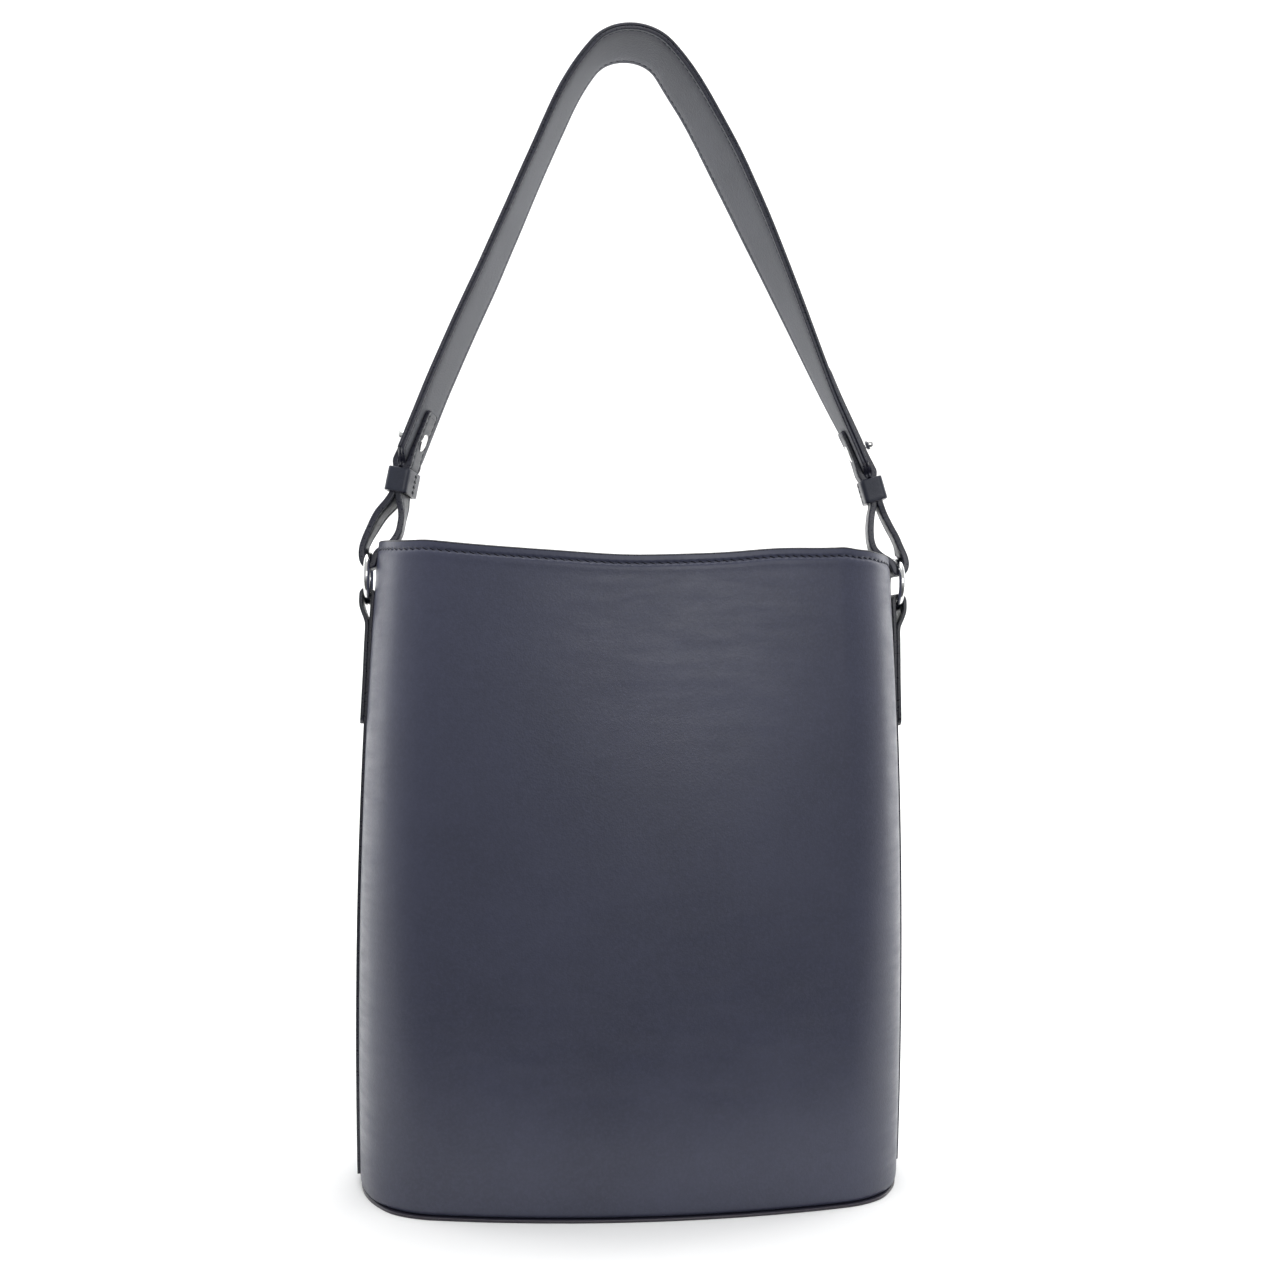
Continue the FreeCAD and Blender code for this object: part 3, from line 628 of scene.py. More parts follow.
def panel(side, name, node):
    """Outer leather of one half: turned in at the base, grooved and drawn in along the rim stitching."""
    turns = even_turns(STITCH_PITCH / 7.0)
    rim = rim_of(turns, side)
    levels = graded(8.0, 0.4, 6.5, RIM_CENTRE - BASE - 3.0)
    levels = np.concatenate(([0.5, 0.75], levels[levels > 0.8]))
    reach = reaches(seam_line(turns, rim, side, SEAM_FROM_RIM, 0.0)[0])[:, None]
    across = (levels - SEAM_FROM_RIM)[None, :]
    groove = 0.50 * blip(across, 0.75) + 0.45 * holes(across, reach, STITCH_PITCH, reach[-1, 0])
    lip = -0.20 * blip(across - 2.6, 1.9)
    outer, _ = wall_layer(turns, rim, levels, groove + lip, side)
    # rounded foot of the wall, turned in under the board
    foot_insets = (0.12, 0.40, 0.90, 1.60, 2.30, 3.20, 4.2, TURN_IN_WIDTH)
    foot_heights = (3.6, 2.6, 1.9, 1.5, 1.5, 1.85, BASE + 0.04, BASE + 0.04)
    foot = [wall(turns, z, inset)[0] for inset, z in zip(foot_insets, foot_heights)]
    foot = turned(np.stack(foot, axis=1), side)
    # out along the top of the turn-in, up the inner face, and over the top edge
    shelf = [wall(turns, BASE + TURN_IN, inset)[0] for inset in (TURN_IN_WIDTH, 4.0, PANEL)]
    shelf = turned(np.stack(shelf, axis=1), side)
    inner, _ = wall_layer(turns, rim, levels[::6][::-1], PANEL, side)
    top_out, top_in = [wall_layer(turns, rim, [0.12], inset, side)[0] for inset in (0.5, 1.3)]
    loops = np.concatenate([top_out, outer, foot, shelf, inner, top_in], axis=1)
    make_piece(name, loops, tunnel_faces(loops), [PANEL_LEATHER], "bag", [node])


def rim_edge(side, name):
    """Painted edge over the panel and its facing: a low dome, a little proud of both."""
    turns = even_turns(1.2)
    rim = rim_of(turns, side)
    insets = (-0.03, -0.05, 0.35, 1.1, 1.75, 2.4, 3.1, 3.5, 3.48, 1.75)
    drops = (0.62, 0.30, -0.02, -0.20, -0.24, -0.20, -0.02, 0.30, 0.62, 0.7)
    lines = [wall_layer(turns, rim, [drop], inset, side)[0] for inset, drop in zip(insets, drops)]
    loops = np.concatenate(lines, axis=1)
    make_piece(name, loops, tunnel_faces(loops), [EDGE], "bag")


def facing(side, name, node):
    """Leather band inside the rim, stitched through at the top and along its lower edge."""
    turns = even_turns(STITCH_PITCH / 5.0)
    rim = rim_of(turns, side)
    depth = RIM_CENTRE - FACING_LOW
    levels = np.concatenate(([0.5], graded(7.2, 0.5, 3.0, depth)[2:]))
    reach = reaches(seam_line(turns, rim, side, SEAM_FROM_RIM, FACING_IN)[0])[:, None]
    across = (levels - SEAM_FROM_RIM)[None, :]
    groove = 0.35 * blip(across, 0.9) + 0.35 * holes(across, reach, STITCH_PITCH, reach[-1, 0])
    low_groove = 0.25 * blip(levels - (depth - FACING_SEAM_UP), 1.2)
    rounding = 0.45 * smooth(depth - 0.8, depth, levels)
    inner, _ = wall_layer(turns, rim, levels, FACING_IN - (groove + low_groove + rounding), side)
    outer, _ = wall_layer(turns, rim, levels, FACING_OUT, side)
    sheet_solid(name, inner, outer, [FACING_LEATHER, EDGE], node, edge_slot=1)


def lining(side, name, node):
    """Lining cloth of one half wall, a little slack, with soft creases towards the floor."""
    turns = even_turns(2.2)
    heights = (np.linspace(LINING_FLOOR + 0.2, 24.0, 10), np.linspace(27.0, FACING_LOW - 0.3, 70))
    heights = np.concatenate(heights)[None, ::-1]
    turns = turns[:, None]
    points, _ = wall(turns, heights)
    slack = np.zeros(points.shape[:2])
    for i, j in np.ndindex(slack.shape):
        x, y, z = points[i, j]
        soft = noise.noise(Vector((x / 34.0 + side * 5.0, y / 34.0, z / 75.0)))
        crease = noise.noise(Vector((x / 12.0, y / 12.0, z / 60.0 + side * 9.0)))
        slack[i, j] = 0.9 * abs(soft) + 0.5 * max(0.0, crease)
    hold = smooth(6.0, 30.0, heights) * (1.0 - smooth(246.0, 261.0, heights))
    seam = smooth(0.0, 0.35, turns) * smooth(0.0, 0.35, 5.0 - turns)
    loose = slack * hold * seam - wave(points, side)
    inner, outer = [turned(wall(turns, heights, inset + loose)[0], side) for inset in (LINING_IN, LINING_OUT)]
    sheet_solid(name, inner, outer, [LINING], node)


def full_ring(z, inset, step):
    """Closed outline of the bag at height z; what stands out past the wall stands out less at the sides."""
    turns = even_turns(step, z)
    _, normals = wall(turns, z)
    spare = min(inset, 0.0)
    inset = inset - (spare - 0.5 * (spare < 0.0)) * smooth(0.60, 0.90, np.abs(normals[:, 0]))
    points, _ = wall(turns, z, inset)
    return np.concatenate([points[:-1], turned(points, -1)[:-1]])


PLATE_INSET = 14.0                        # the plates' flat middle begins this far in


def plate_piece(name, section, step, materials, node, edge_rows=()):
    """Closed flat piece in the bag's outline. section is its edge from below: (inset, height) pairs."""
    loops = [full_ring(z, inset, step) for inset, z in section]
    low_z, high_z = section[0][1], section[-1][1]
    low_in, high_in = full_ring(low_z, PLATE_INSET, step), full_ring(high_z, PLATE_INSET, step)
    shrink = (0.86, 0.68, 0.48, 0.26, 0.1)
    below = [low_in * (s, s, 0.0) + (0.0, 0.0, low_z) for s in shrink[::-1]]
    above = [high_in * (s, s, 0.0) + (0.0, 0.0, high_z) for s in shrink]
    stack = below + [low_in] + loops + [high_in] + above
    around = len(low_in)
    faces = loop_faces(len(stack), around) + end_faces(len(stack), around, inward=True)
    first_edge = len(below) + 1
    slots = [int(k // around - first_edge in edge_rows) for k in range(len(faces))]
    make_piece(name, np.concatenate(stack), [f[::-1] for f in faces], materials, "bag", [node], slots)


def make_body():
    """Walls, rim, lining and base."""
    stitches = Stitches()
    for side, half in ((1, "front"), (-1, "back")):
        panel(side, half + "_panel_leather", half + "_panel")
        rim_edge(side, half + "_rim_edge_paint")
        facing(side, half + "_facing_leather", half + "_facing")
        lining(side, half + "_lining_cloth", half + "_lining")
        turns = even_turns(0.8)
        rim = rim_of(turns, side)
        outside, normals = seam_line(turns, rim, side, SEAM_FROM_RIM, 0.50)
        stitches.row(outside, normals, share=0.84, radius=0.40, slant=-1.5, rise=0.26)
        inside, normals = seam_line(turns, rim, side, SEAM_FROM_RIM, FACING_IN - 0.35)
        stitches.row(inside, -normals, share=0.80, slant=0.9)
        low_level = RIM_CENTRE - FACING_LOW - FACING_SEAM_UP
        low, normals = seam_line(turns, rim, side, low_level, FACING_IN - 0.25)
        stitches.row(low, -normals, share=0.72)
    stitches.make("rim_stitching", "bag")

    section = [(inset, 0.0) for inset in (6.2, 5.4, 4.6, 3.8, 3.0, -0.5)]
    section += [(-0.85, 0.08), (-1.1, 0.32), (-1.2, 0.70), (-1.1, 1.05), (-0.85, 1.30), (-0.4, 1.38)]
    section += [(1.6, 1.38), (2.6, 1.6), (4.4, 2.38), (8.0, BASE)]
    plate_piece("base_leather_plate", section, 2.0, [BASE_LEATHER, BASE_EDGE], "base_panel",
                edge_rows=range(5, 11))
    cloth = [(4.5, 6.02), (3.4, 6.05), (3.15, 6.3), (3.2, 6.6), (3.6, 6.8), (5.0, 6.86), (9.0, 6.8)]
    plate_piece("base_lining_cloth", cloth, 2.5, [LINING], "base_lining")

    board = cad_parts["base_board"]
    board.data.materials.clear()
    board.data.materials.append(BOARD)


# ----------------------------------------------------------------- flat leather strips
def strip_solid(name, centres, faces_out, across, half_widths, half_thick, materials, node, body=None,
                seam_in=None, two_ply=True, closed=False, middle=0.0):
    """A leather strip along a run of stations.

    faces_out and across are unit vectors at each station; half_thick is a number or one for each station;
    seam_in is how far the stitch rows lie from the edges; two_ply draws the fine groove round the edge
    between two plies, and an edge without it is rounded. middle shifts the strip along faces_out.
    """
    half = np.broadcast_to(np.asarray(half_thick, float), (len(centres),))[:, None]
    corner = min(0.42, float(half.min()) * 0.6)
    seam = seam_in or 3.0
    widths = np.asarray(half_widths, float)[:, None]
    # places across one face: the edge, the seam's groove, and the plain middle
    from_edge = [corner] + [seam + off for off in (-1.1, -0.5, 0.0, 0.5, 1.1)]
    edge_part = [np.maximum(widths - e, widths * 0.02 * (6 - k)) for k, e in enumerate(from_edge)]
    left_over = np.maximum(widths - from_edge[-1], widths * 0.01)
    mid_part = [left_over * share for share in (0.66, 0.33, 0.0)]
    positive = np.concatenate(edge_part + mid_part, axis=1)
    upper_y = np.concatenate([positive, -positive[:, -2::-1]], axis=1)
    upper_n = half + 0.0 * upper_y
    if seam_in:
        reach = reaches(centres)[:, None]
        off_seam = np.abs(widths - np.abs(upper_y)) - seam
        pricked = holes(off_seam, reach, TRIM_PITCH, reach[-1, 0])
        upper_n = upper_n - 0.28 * blip(off_seam, 0.7) - 0.25 * pricked
    # places round the edge: how far in from it at its rim, shoulder and middle, and the rim's drop
    rim, shoulder, groove, drop = (0.12, 0.0, 0.12, 0.08) if two_ply else (0.30, 0.07, 0.0, 0.05)
    edge_y = np.concatenate([e - widths for e in (rim, shoulder, groove, shoulder, rim)], axis=1)
    edge_n = np.concatenate([half - drop, half * 0.55, 0.0 * half, -half * 0.55, drop - half], axis=1)
    loop_y = np.concatenate([upper_y, edge_y, upper_y[:, ::-1], -edge_y[:, ::-1]], axis=1)
    loop_n = np.concatenate([upper_n, edge_n, -upper_n[:, ::-1], edge_n[:, ::-1]], axis=1) + middle
    points = centres[:, None] + across[:, None] * loop_y[..., None] + faces_out[:, None] * loop_n[..., None]
    around, face_points = loop_y.shape[1], upper_y.shape[1]
    faces = loop_faces(len(centres), around, closed)
    half_slots = [0] * (face_points - 1) + [1] * (edge_y.shape[1] + 1)
    slots = half_slots * 2 * (len(centres) if closed else len(centres) - 1)
    if not closed:
        order = list(range(face_points + 2, around)) + list(range(face_points + 2))
        last = (len(centres) - 1) * around
        faces += [tuple(order), tuple(last + k for k in order)[::-1]]
        slots += [1, 1]
    return make_piece(name, points, faces, materials, body, [node], slots)


def rows_on_strip(stitches, centres, faces_out, across, half_widths, face, seam_in, radius=TRIM_THREAD):
    """Two stitch rows on a face of a strip, given as its offset along faces_out for all or each station."""
    face = np.broadcast_to(np.asarray(face, float), (len(centres),))[:, None]
    sign = np.sign(face[0, 0])
    reach = np.maximum(half_widths - seam_in, 0.6)[:, None]
    for edge in (1.0, -1.0):
        line = centres + across * (edge * reach) + faces_out * (face - sign * 0.26)
        stitches.row(line, faces_out * sign, share=0.80, pitch=TRIM_PITCH, radius=radius, rise=0.18)


def row_across(stitches, centre, out, across, half_width, face):
    """One stitch row straight across a strip."""
    sign = np.sign(face)
    shares = np.linspace(-1.0, 1.0, 9)[:, None]
    line = centre + across * half_width * shares + out * (face - sign * 0.1)
    normals = np.tile(out * sign, (len(line), 1))
    stitches.row(line, normals, share=0.80, pitch=3.2, radius=TRIM_THREAD, rise=0.18)


def round_end(distance, half_width, radius):
    """Half width near a rounded strip end, from the distance to the tip."""
    near = np.clip(radius - distance, 0.0, radius)
    return half_width - radius + np.sqrt(np.maximum(radius ** 2 - near ** 2, 0.0))


# ----------------------------------------------------------------- side strips
# height of the fold's middle: the strip's edges touch the ring from inside
FOLD_RISE = 0.3
FOLD_Z = RING_Z - math.sqrt((RING_RADIUS - RING_WIRE) ** 2 - (STRIP_WIDTH / 2) ** 2) + FOLD_RISE - TUNNEL_HALF


def strip_x(z, off, sign):
    """Place across the bag of the side strip at height z; it leans off the wall above the tab's end."""
    rise = np.maximum(0.0, (z - TAB_LOW) / (FOLD_Z - TAB_LOW))
    return at_heights(HALF_WIDTH, z) + STRIP_GAP - STRIP_PRESSED[sign] + rise * TAB_STAND_OFF[sign] + off


def fold_x(sign):
    return float(strip_x(FOLD_Z, 0.0, sign)) + STRIP + TUNNEL_HALF


def side_strip(sign, name):
    """Strip up the side, folded round the ring and stitched down on itself."""
    half = STRIP / 2
    seam = 2.4
    rising = [(strip_x(z, half, sign), z) for z in np.linspace(STRIP_FOOT, FOLD_Z - 4.0, 60)]
    fold = TUNNEL_HALF + half
    middle = fold_x(sign)
    over = [(middle - fold * math.cos(a), FOLD_Z + fold * math.sin(a)) for a in np.linspace(0.0, math.pi, 13)]
    falling = [(middle + fold, TUNNEL_LOW + 1.0), (middle + fold - 0.9, TUNNEL_LOW - 2.2),
               (strip_x(TAB_JOIN - 1.5, STRIP + half + 0.3, sign), TAB_JOIN - 1.5)]
    falling += [(strip_x(z, STRIP + half, sign), z) for z in np.linspace(TAB_JOIN - 8.0, TAB_LOW, 14)]
    path = curve_through(rising + over + falling, 8)
    path, reach = along_line(path, 0.6)
    centres = np.insert(path, 1, 0.0, axis=1)
    run = unit(np.gradient(centres, axis=0))
    across = np.tile([0.0, -1.0, 0.0], (len(path), 1))
    out = np.cross(across, run)
    left = reach[-1] - reach
    half_widths = np.minimum(round_end(reach, STRIP_WIDTH / 2, 1.2), round_end(left, STRIP_WIDTH / 2, 4.0))
    centres[:, 0] *= sign
    out[:, 0] *= sign
    piece = strip_solid(name + "_leather", centres, out, across, half_widths, half, [TRIM_LEATHER, EDGE],
                        name, seam_in=seam)
    stitches = Stitches()
    height = path[:, 1]
    top = float(reach[np.argmax(height)])
    tab_top = TAB_JOIN - 3.0
    outer_run = (reach > 4.0) & (height < TAB_LOW - 3.0) & (reach < top)
    tab_run = (reach > top) & (height < tab_top) & (left > seam)
    for chosen, face in ((outer_run, half), (tab_run, -half)):
        rows_on_strip(stitches, centres[chosen], out[chosen], across[chosen], half_widths[chosen], face, seam)
    tab_end = np.argmin(np.abs(left - 2.6))
    tab_start = np.argmin(np.abs(height - tab_top) + (reach < top) * 99)
    for place, face in ((tab_end, -half), (tab_start, -half), (6, half)):
        row_across(stitches, centres[place], out[place], across[place], STRIP_WIDTH / 2 - 2.8, face)
    for made in (piece, stitches.make(name + "_stitching")):
        bend_to_wall(made, sign)
        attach(made, "bag")


def bend_to_wall(piece, sign):
    """Curves a side strip across its width to lie on the wall, less and less towards the ring."""
    for vertex in piece.data.vertices:
        y = vertex.co.y / MM
        z = vertex.co.z / MM
        sag = SIDE_RADIUS - math.sqrt(SIDE_RADIUS ** 2 - y * y)
        vertex.co.x -= sign * sag * (1.0 - float(smooth(238.0, 268.0, z))) * MM


# ----------------------------------------------------------------- the strap's middle line
# the foot of the strap's plain line, where the bend of the loop strap lies in the ring
LOOP_X, LOOP_RISE = 133.654, 2.45
LOOP_Z = RING_Z + math.sqrt((RING_RADIUS - RING_WIRE) ** 2 - (CHAPE_WIDTH / 2) ** 2) + LOOP_RISE
LEG_DROP = 18.9                           # from the strap's end down to the foot of the keeper
# where the two legs lie together below the strap's ends, right and left, in X and Z
RIGHT_LEGS = ((121.9, 330.8), (120.6, 335.8), (119.2, 340.6), (117.3, 345.2))
LEFT_LEGS = ((-112.8, 345.2), (-113.7, 340.6), (-114.6, 335.8), (-115.6, 330.8))
# how the hanging strap strays from the plain line at these heights: sideways, and turned about its own line
HEIGHTS = (350.0, 363.0, 385.0, 410.0, 440.0, 470.0, 500.0, 525.0, 545.0, 560.0)
RIGHT_STRAY = (2.3, 1.6, -0.4, -1.3, -2.0, -2.4, -2.8, -3.7, -4.7, -4.7)
LEFT_STRAY = (1.9, 1.5, 0.8, 0.9, 1.4, 0.4, -1.5, -3.4, -4.6, -4.7)
RIGHT_TWIST = (10.5, 9.5, 6.7, 2.2, -3.2, -8.2, -10.6, -8.9, -8.1, -2.4)
LEFT_TWIST = (-11.5, -11.3, -10.9, -10.7, -10.2, -9.0, -7.8, -8.0, -5.0, -2.4)
APEX_SAG, APEX_SAG_REACH = 3.1, 29.0
TONGUE = 6.6                              # how much nearer the keepers the strap's ends reach
TONGUE_HALF_WIDTH, TONGUE_CLEAR, CHAMFER_SLOPE = 9.0, 2.8, 2.2


def spoke(angle):
    return np.array([math.cos(angle), math.sin(angle)])


def plain_middle():
    """Middle line of the strap in X and Z, from its right end over the top to its left end."""
    apex = np.array([0.0, STRAP_APEX - APEX_RADIUS])
    shoulder = apex + spoke(APEX_LEAN) * (APEX_RADIUS - SHOULDER_RADIUS)
    join = shoulder + spoke(SHOULDER_LEAN) * SHOULDER_RADIUS
    loop = np.array([LOOP_X, LOOP_Z])
    # the long arc leaves the shoulder's end smoothly and comes to the loop's line
    long_radius = (loop - join).dot(spoke(LEAN)) / (1 - math.cos(SHOULDER_LEAN - LEAN))
    centre = join - spoke(SHOULDER_LEAN) * long_radius
    right = [loop + np.array([-math.sin(LEAN), math.cos(LEAN)]) * STRAP_END]
    right += [centre + spoke(a) * long_radius for a in np.linspace(LEAN, SHOULDER_LEAN, 60)]
    right += [shoulder + spoke(a) * SHOULDER_RADIUS for a in np.linspace(SHOULDER_LEAN, APEX_LEAN, 30)[1:]]
    right += [apex + spoke(a) * APEX_RADIUS for a in np.linspace(APEX_LEAN, math.pi / 2, 30)[1:]]
    right = np.array(right)
    return np.concatenate([right, (right * [-1.0, 1.0])[-2::-1]])


def softened(values, half=7):
    """Running average over half values each way, with held ends."""
    return np.convolve(np.pad(values, half, mode="edge"), np.ones(2 * half + 1) / (2 * half + 1), "valid")


class StrapLine:
    """Stations up the right legs, over the strap and down the left legs.

    Each has a middle point, an outward normal, and vectors along the run and across the width, turned as the
    strap hangs. start and end are the distances at which the strap itself begins and ends.
    """

    def __init__(self, step):
        path, _ = along_line(plain_middle(), 1.0)
        right = path[:, 0] > 0.0
        stray, twist = [
            softened(np.where(right, *(np.interp(path[:, 1], HEIGHTS, values) for values in pair)))
            for pair in ((RIGHT_STRAY, LEFT_STRAY), (RIGHT_TWIST, LEFT_TWIST))]
        drop = APEX_SAG * blip(path[:, 0], APEX_SAG_REACH)
        hung = np.stack([path[:, 0] + stray, path[:, 1] - drop, twist], axis=1)
        legs = [np.array([(x, z, twists[0]) for x, z in points])
                for points, twists in ((RIGHT_LEGS, RIGHT_TWIST), (LEFT_LEGS, LEFT_TWIST))]
        whole = np.concatenate([legs[0], hung, legs[1]])
        reach = reaches(whole[:, :2])
        self.start = reach[len(legs[0])]
        self.end = reach[len(legs[0]) + len(hung) - 1]
        length = reach[-1]
        count = int(round(length / step)) + 1
        self.reach = np.linspace(0.0, length, count)
        half = int(5.0 / step) // 2
        sharp = at_distance(self.reach, reach, whole)
        table = np.stack([softened(column, half) for column in sharp.T], axis=1)
        # the feet of the legs stay where they are
        fade = smooth(0.0, 4.0, np.minimum(self.reach, length - self.reach))[:, None]
        near = np.where(self.reach[:, None] < length / 2, sharp[0], sharp[-1])
        table = table * fade + near * (1.0 - fade)
        slope = unit(np.gradient(table[:, :2], axis=0))
        slope = unit(np.stack([softened(column, half) for column in slope.T], axis=1))
        none = np.zeros(count)
        self.centres = np.stack([table[:, 0], none, table[:, 1]], axis=1)
        plain = np.stack([slope[:, 1], none, -slope[:, 0]], axis=1)
        turn = np.radians(table[:, 2])[:, None]
        depth = np.array([0.0, 1.0, 0.0])
        self.across = depth * np.cos(turn) + plain * np.sin(turn)
        self.out = plain * np.cos(turn) - depth * np.sin(turn)

    def at(self, distance):
        """Middle point, outward and across vectors at a distance from the foot of the right legs."""
        centre, out, across = [at_distance(distance, self.reach, table)
                               for table in (self.centres, self.out, self.across)]
        return centre, unit(out), unit(across)


def strap_half_widths(line):
    """Full width, with the corners cut off at both ends and a narrow tongue that a keeper slides over."""
    near = np.minimum(line.reach - line.start, line.end - line.reach) + TONGUE
    cut = TONGUE_HALF_WIDTH + CHAMFER_SLOPE * np.maximum(near - TONGUE_CLEAR, 0.0)
    return np.minimum(STRAP_WIDTH / 2, cut)


def make_strap():
    """Both layers of the shoulder strap and its stitching; gives back the line that the hardware hangs on."""
    line = StrapLine(0.68)
    own = (line.reach >= line.start - TONGUE) & (line.reach <= line.end + TONGUE)
    widths = strap_half_widths(line)[own]
    centres, out, across = line.centres[own], line.out[own], line.across[own]
    seam, between = 2.6, 0.03
    half, middle = (STRAP_LAYER - between) / 2, (STRAP_LAYER + between) / 2
    for name, node, side, material, slot in (
            ("strap_outer_leather", "strap_outer_layer", 1, STRAP_LEATHER, "strap_leather"),
            ("strap_inner_leather", "strap_lining_layer", -1, STRAP_INNER, "strap_inner_leather")):
        strip_solid(name, centres, out, across, widths, half, [material, STRAP_EDGE], node, "strap",
                    seam_in=seam, two_ply=False, middle=side * middle)
    stitches = Stitches()
    for face in (STRAP_LAYER, -STRAP_LAYER):
        rows_on_strip(stitches, centres[6:-6], out[6:-6], across[6:-6], widths[6:-6], face, seam, radius=0.42)
        for end in (5, -6):
            row_across(stitches, centres[end], out[end], across[end], widths[end] - seam, face)
    stitches.make("strap_stitching", "strap")
    return line


# ----------------------------------------------------------------- loop straps, keepers, studs, rings
# Middle of the loop strap below the keeper, in X and Z: down the outer leg, through the ring, up inside
RIGHT_LOOP = ((125.4, 326.4), (128.7, 319.9), (132.2, 313.6), (134.5, 307.6), (135.4, 303.2), (135.3, 299.8),
              (134.3, 297.3), (132.2, 296.1), (130.1, 296.9), (129.0, 299.4), (127.3, 302.1), (123.9, 304.5),
              (121.0, 307.6), (119.3, 312.2), (118.8, 318.5), (119.2, 324.8))
LEFT_LOOP = ((-119.6, 327.3), (-124.6, 321.4), (-128.6, 314.2), (-131.3, 308.6), (-132.7, 304.2),
             (-132.8, 300.2), (-131.8, 297.4), (-129.7, 296.1), (-127.7, 297.0), (-126.9, 299.7),
             (-125.1, 303.0), (-121.3, 305.3), (-118.0, 308.4), (-115.6, 312.6), (-114.4, 318.4),
             (-113.8, 324.8))


def side_frame(line, sign, distance):
    """Middle point, outward and across vectors beside the loop strap, distance up from the strap's end."""
    return line.at(line.start + distance if sign > 0 else line.end - distance)


def chape(line, sign, side_name):
    """Two-ply loop strap: outside the strap, down through the ring, and back up inside it."""
    def leg(distances, face, nearer):
        """A leg's middle, outside the strap for face 1 and inside for -1; thinner leather comes nearer."""
        found = []
        for u in distances:
            centre, out, _ = side_frame(line, sign, u - STRAP_END)
            offset = CHAPE_NEAR + (CHAPE_WIDE - CHAPE_NEAR) * float(smooth(45.3, 49.8, u)) - nearer(u)
            found.append(centre + out * (face * offset))
        return found

    foot = STRAP_END - LEG_DROP
    outer = leg(np.linspace(OUTER_TIP, foot, 26), 1, lambda u: 0.35 * float(smooth(50.0, 62.0, u)))
    inner = leg(np.linspace(foot, INNER_TIPS[sign], 16), -1, lambda u: 0.55 * float(smooth(48.0, 60.0, u)))
    loop = [np.array([x, 0.0, z]) for x, z in (RIGHT_LOOP if sign > 0 else LEFT_LOOP)]
    path = curve_through(outer + loop + inner, 14)
    centres, reach = along_line(path, 0.6)
    run = unit(np.gradient(centres, axis=0))
    foot_across = side_frame(line, sign, -LEG_DROP)[2]
    flat = np.array([0.0, 1.0, 0.0])
    low, high = [side_frame(line, sign, d)[0][2] for d in (-LEG_DROP, OUTER_TIP - STRAP_END)]
    lowest = int(np.argmin(centres[:, 2]))
    # turned with the strap beside and below it, square to the ring where it goes through
    across = []
    for place, height in enumerate(centres[:, 2]):
        share = (height - low) / (high - low)
        if sign > 0:
            square, held = 299.0, 312.0
        else:
            square, held = (300.0 if place < lowest else 318.0), low
        if share > 0.0:
            vector = side_frame(line, sign, -LEG_DROP + share * (OUTER_TIP - STRAP_END + LEG_DROP))[2]
        else:
            follow = float(smooth(square, held, height))
            vector = flat * (1.0 - follow) + foot_across * follow
        across.append(vector)
    across = unit(np.array(across))
    across = unit(across - run * np.sum(across * run, axis=1, keepdims=True))
    out = unit(np.cross(run, across)) * sign
    left = reach[-1] - reach
    half = CHAPE_WIDTH / 2
    widths = np.minimum(round_end(reach, half, TIP_ROUND), round_end(left, half, 3.0))
    # skived thinner above the keeper, more so on the inner leg
    above = smooth(low + 14.0, low + 26.0, centres[:, 2])
    thin = np.where(np.arange(len(centres)) < lowest, 0.35, 0.50)
    half_thick = CHAPE / 2 - thin * above
    name = side_name + "_chape"
    seam = 2.5
    materials = [TRIM_LEATHER, STRAP_EDGE]
    piece = strip_solid(name + "_leather", centres, out, across, widths, half_thick, materials,
                        name, seam_in=seam)
    stitches = Stitches()
    body = slice(3, -3)
    for face in (half_thick, -half_thick):
        rows_on_strip(stitches, centres[body], out[body], across[body], widths[body], face[body], seam)
        for end in (4, -5):
            row_across(stitches, centres[end], out[end], across[end], widths[end] - 2.2, face[end])
    for made in (piece, stitches.make(name + "_stitching")):
        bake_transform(made)


def keeper(line, sign, side_name):
    """Band round both legs, its ends butted on the inner side and laced together."""
    middle = KEEPER_LOW + KEEPER_TALL / 2
    centre, out, across = side_frame(line, sign, middle - STRAP_END)
    up = unit(np.cross(out, across))
    up = up * np.sign(up[2])
    thick = KEEPER + KEEPER_FULLER
    half_n = KEEPER_SLOT_N + KEEPER_WIDER + thick / 2
    half_w = KEEPER_SLOT_W + thick / 2
    corner = 1.3
    box_n, box_w = rounded_box(half_n, half_w, corner, 14).T
    # the broad faces swell a little
    broad = (np.abs(box_n) > half_n - 0.6) & (np.abs(box_w) < half_w - corner)
    bulge = 0.35 * (1.0 - (box_w / half_w) ** 2) * np.sign(box_n) * broad
    centres = centre + np.outer(box_n + bulge, out) + np.outer(box_w, across)
    run = unit(np.roll(centres, -1, axis=0) - np.roll(centres, 1, axis=0))
    ups = np.tile(up, (len(centres), 1))
    faces_out = unit(np.cross(run, ups))
    faces_out = faces_out * np.sign(np.sum(faces_out * (centres - centre)))
    joint = blip(box_w, 0.5) * (box_n < 0)
    centres = centres - faces_out * (0.22 * joint)[:, None]
    name = side_name + "_keeper"
    strip_solid(name + "_leather", centres, faces_out, ups, np.full(len(centres), KEEPER_TALL / 2), thick / 2,
                [KEEPER_LEATHER, STRAP_EDGE], name, name, two_ply=False, closed=True)
    stitches = Stitches()
    surface = centre - out * (half_n + thick / 2 + 0.30)
    for place in (-4.0, -1.4, 1.2, 3.8):
        for tilt in (0.3, -0.3):
            run = unit(across + up * tilt)
            stitches.add(surface + up * place, run, -out, 3.6, radius=0.36, slant=0.0, rise=0.40)
    stitches.make(name + "_lacing", name)


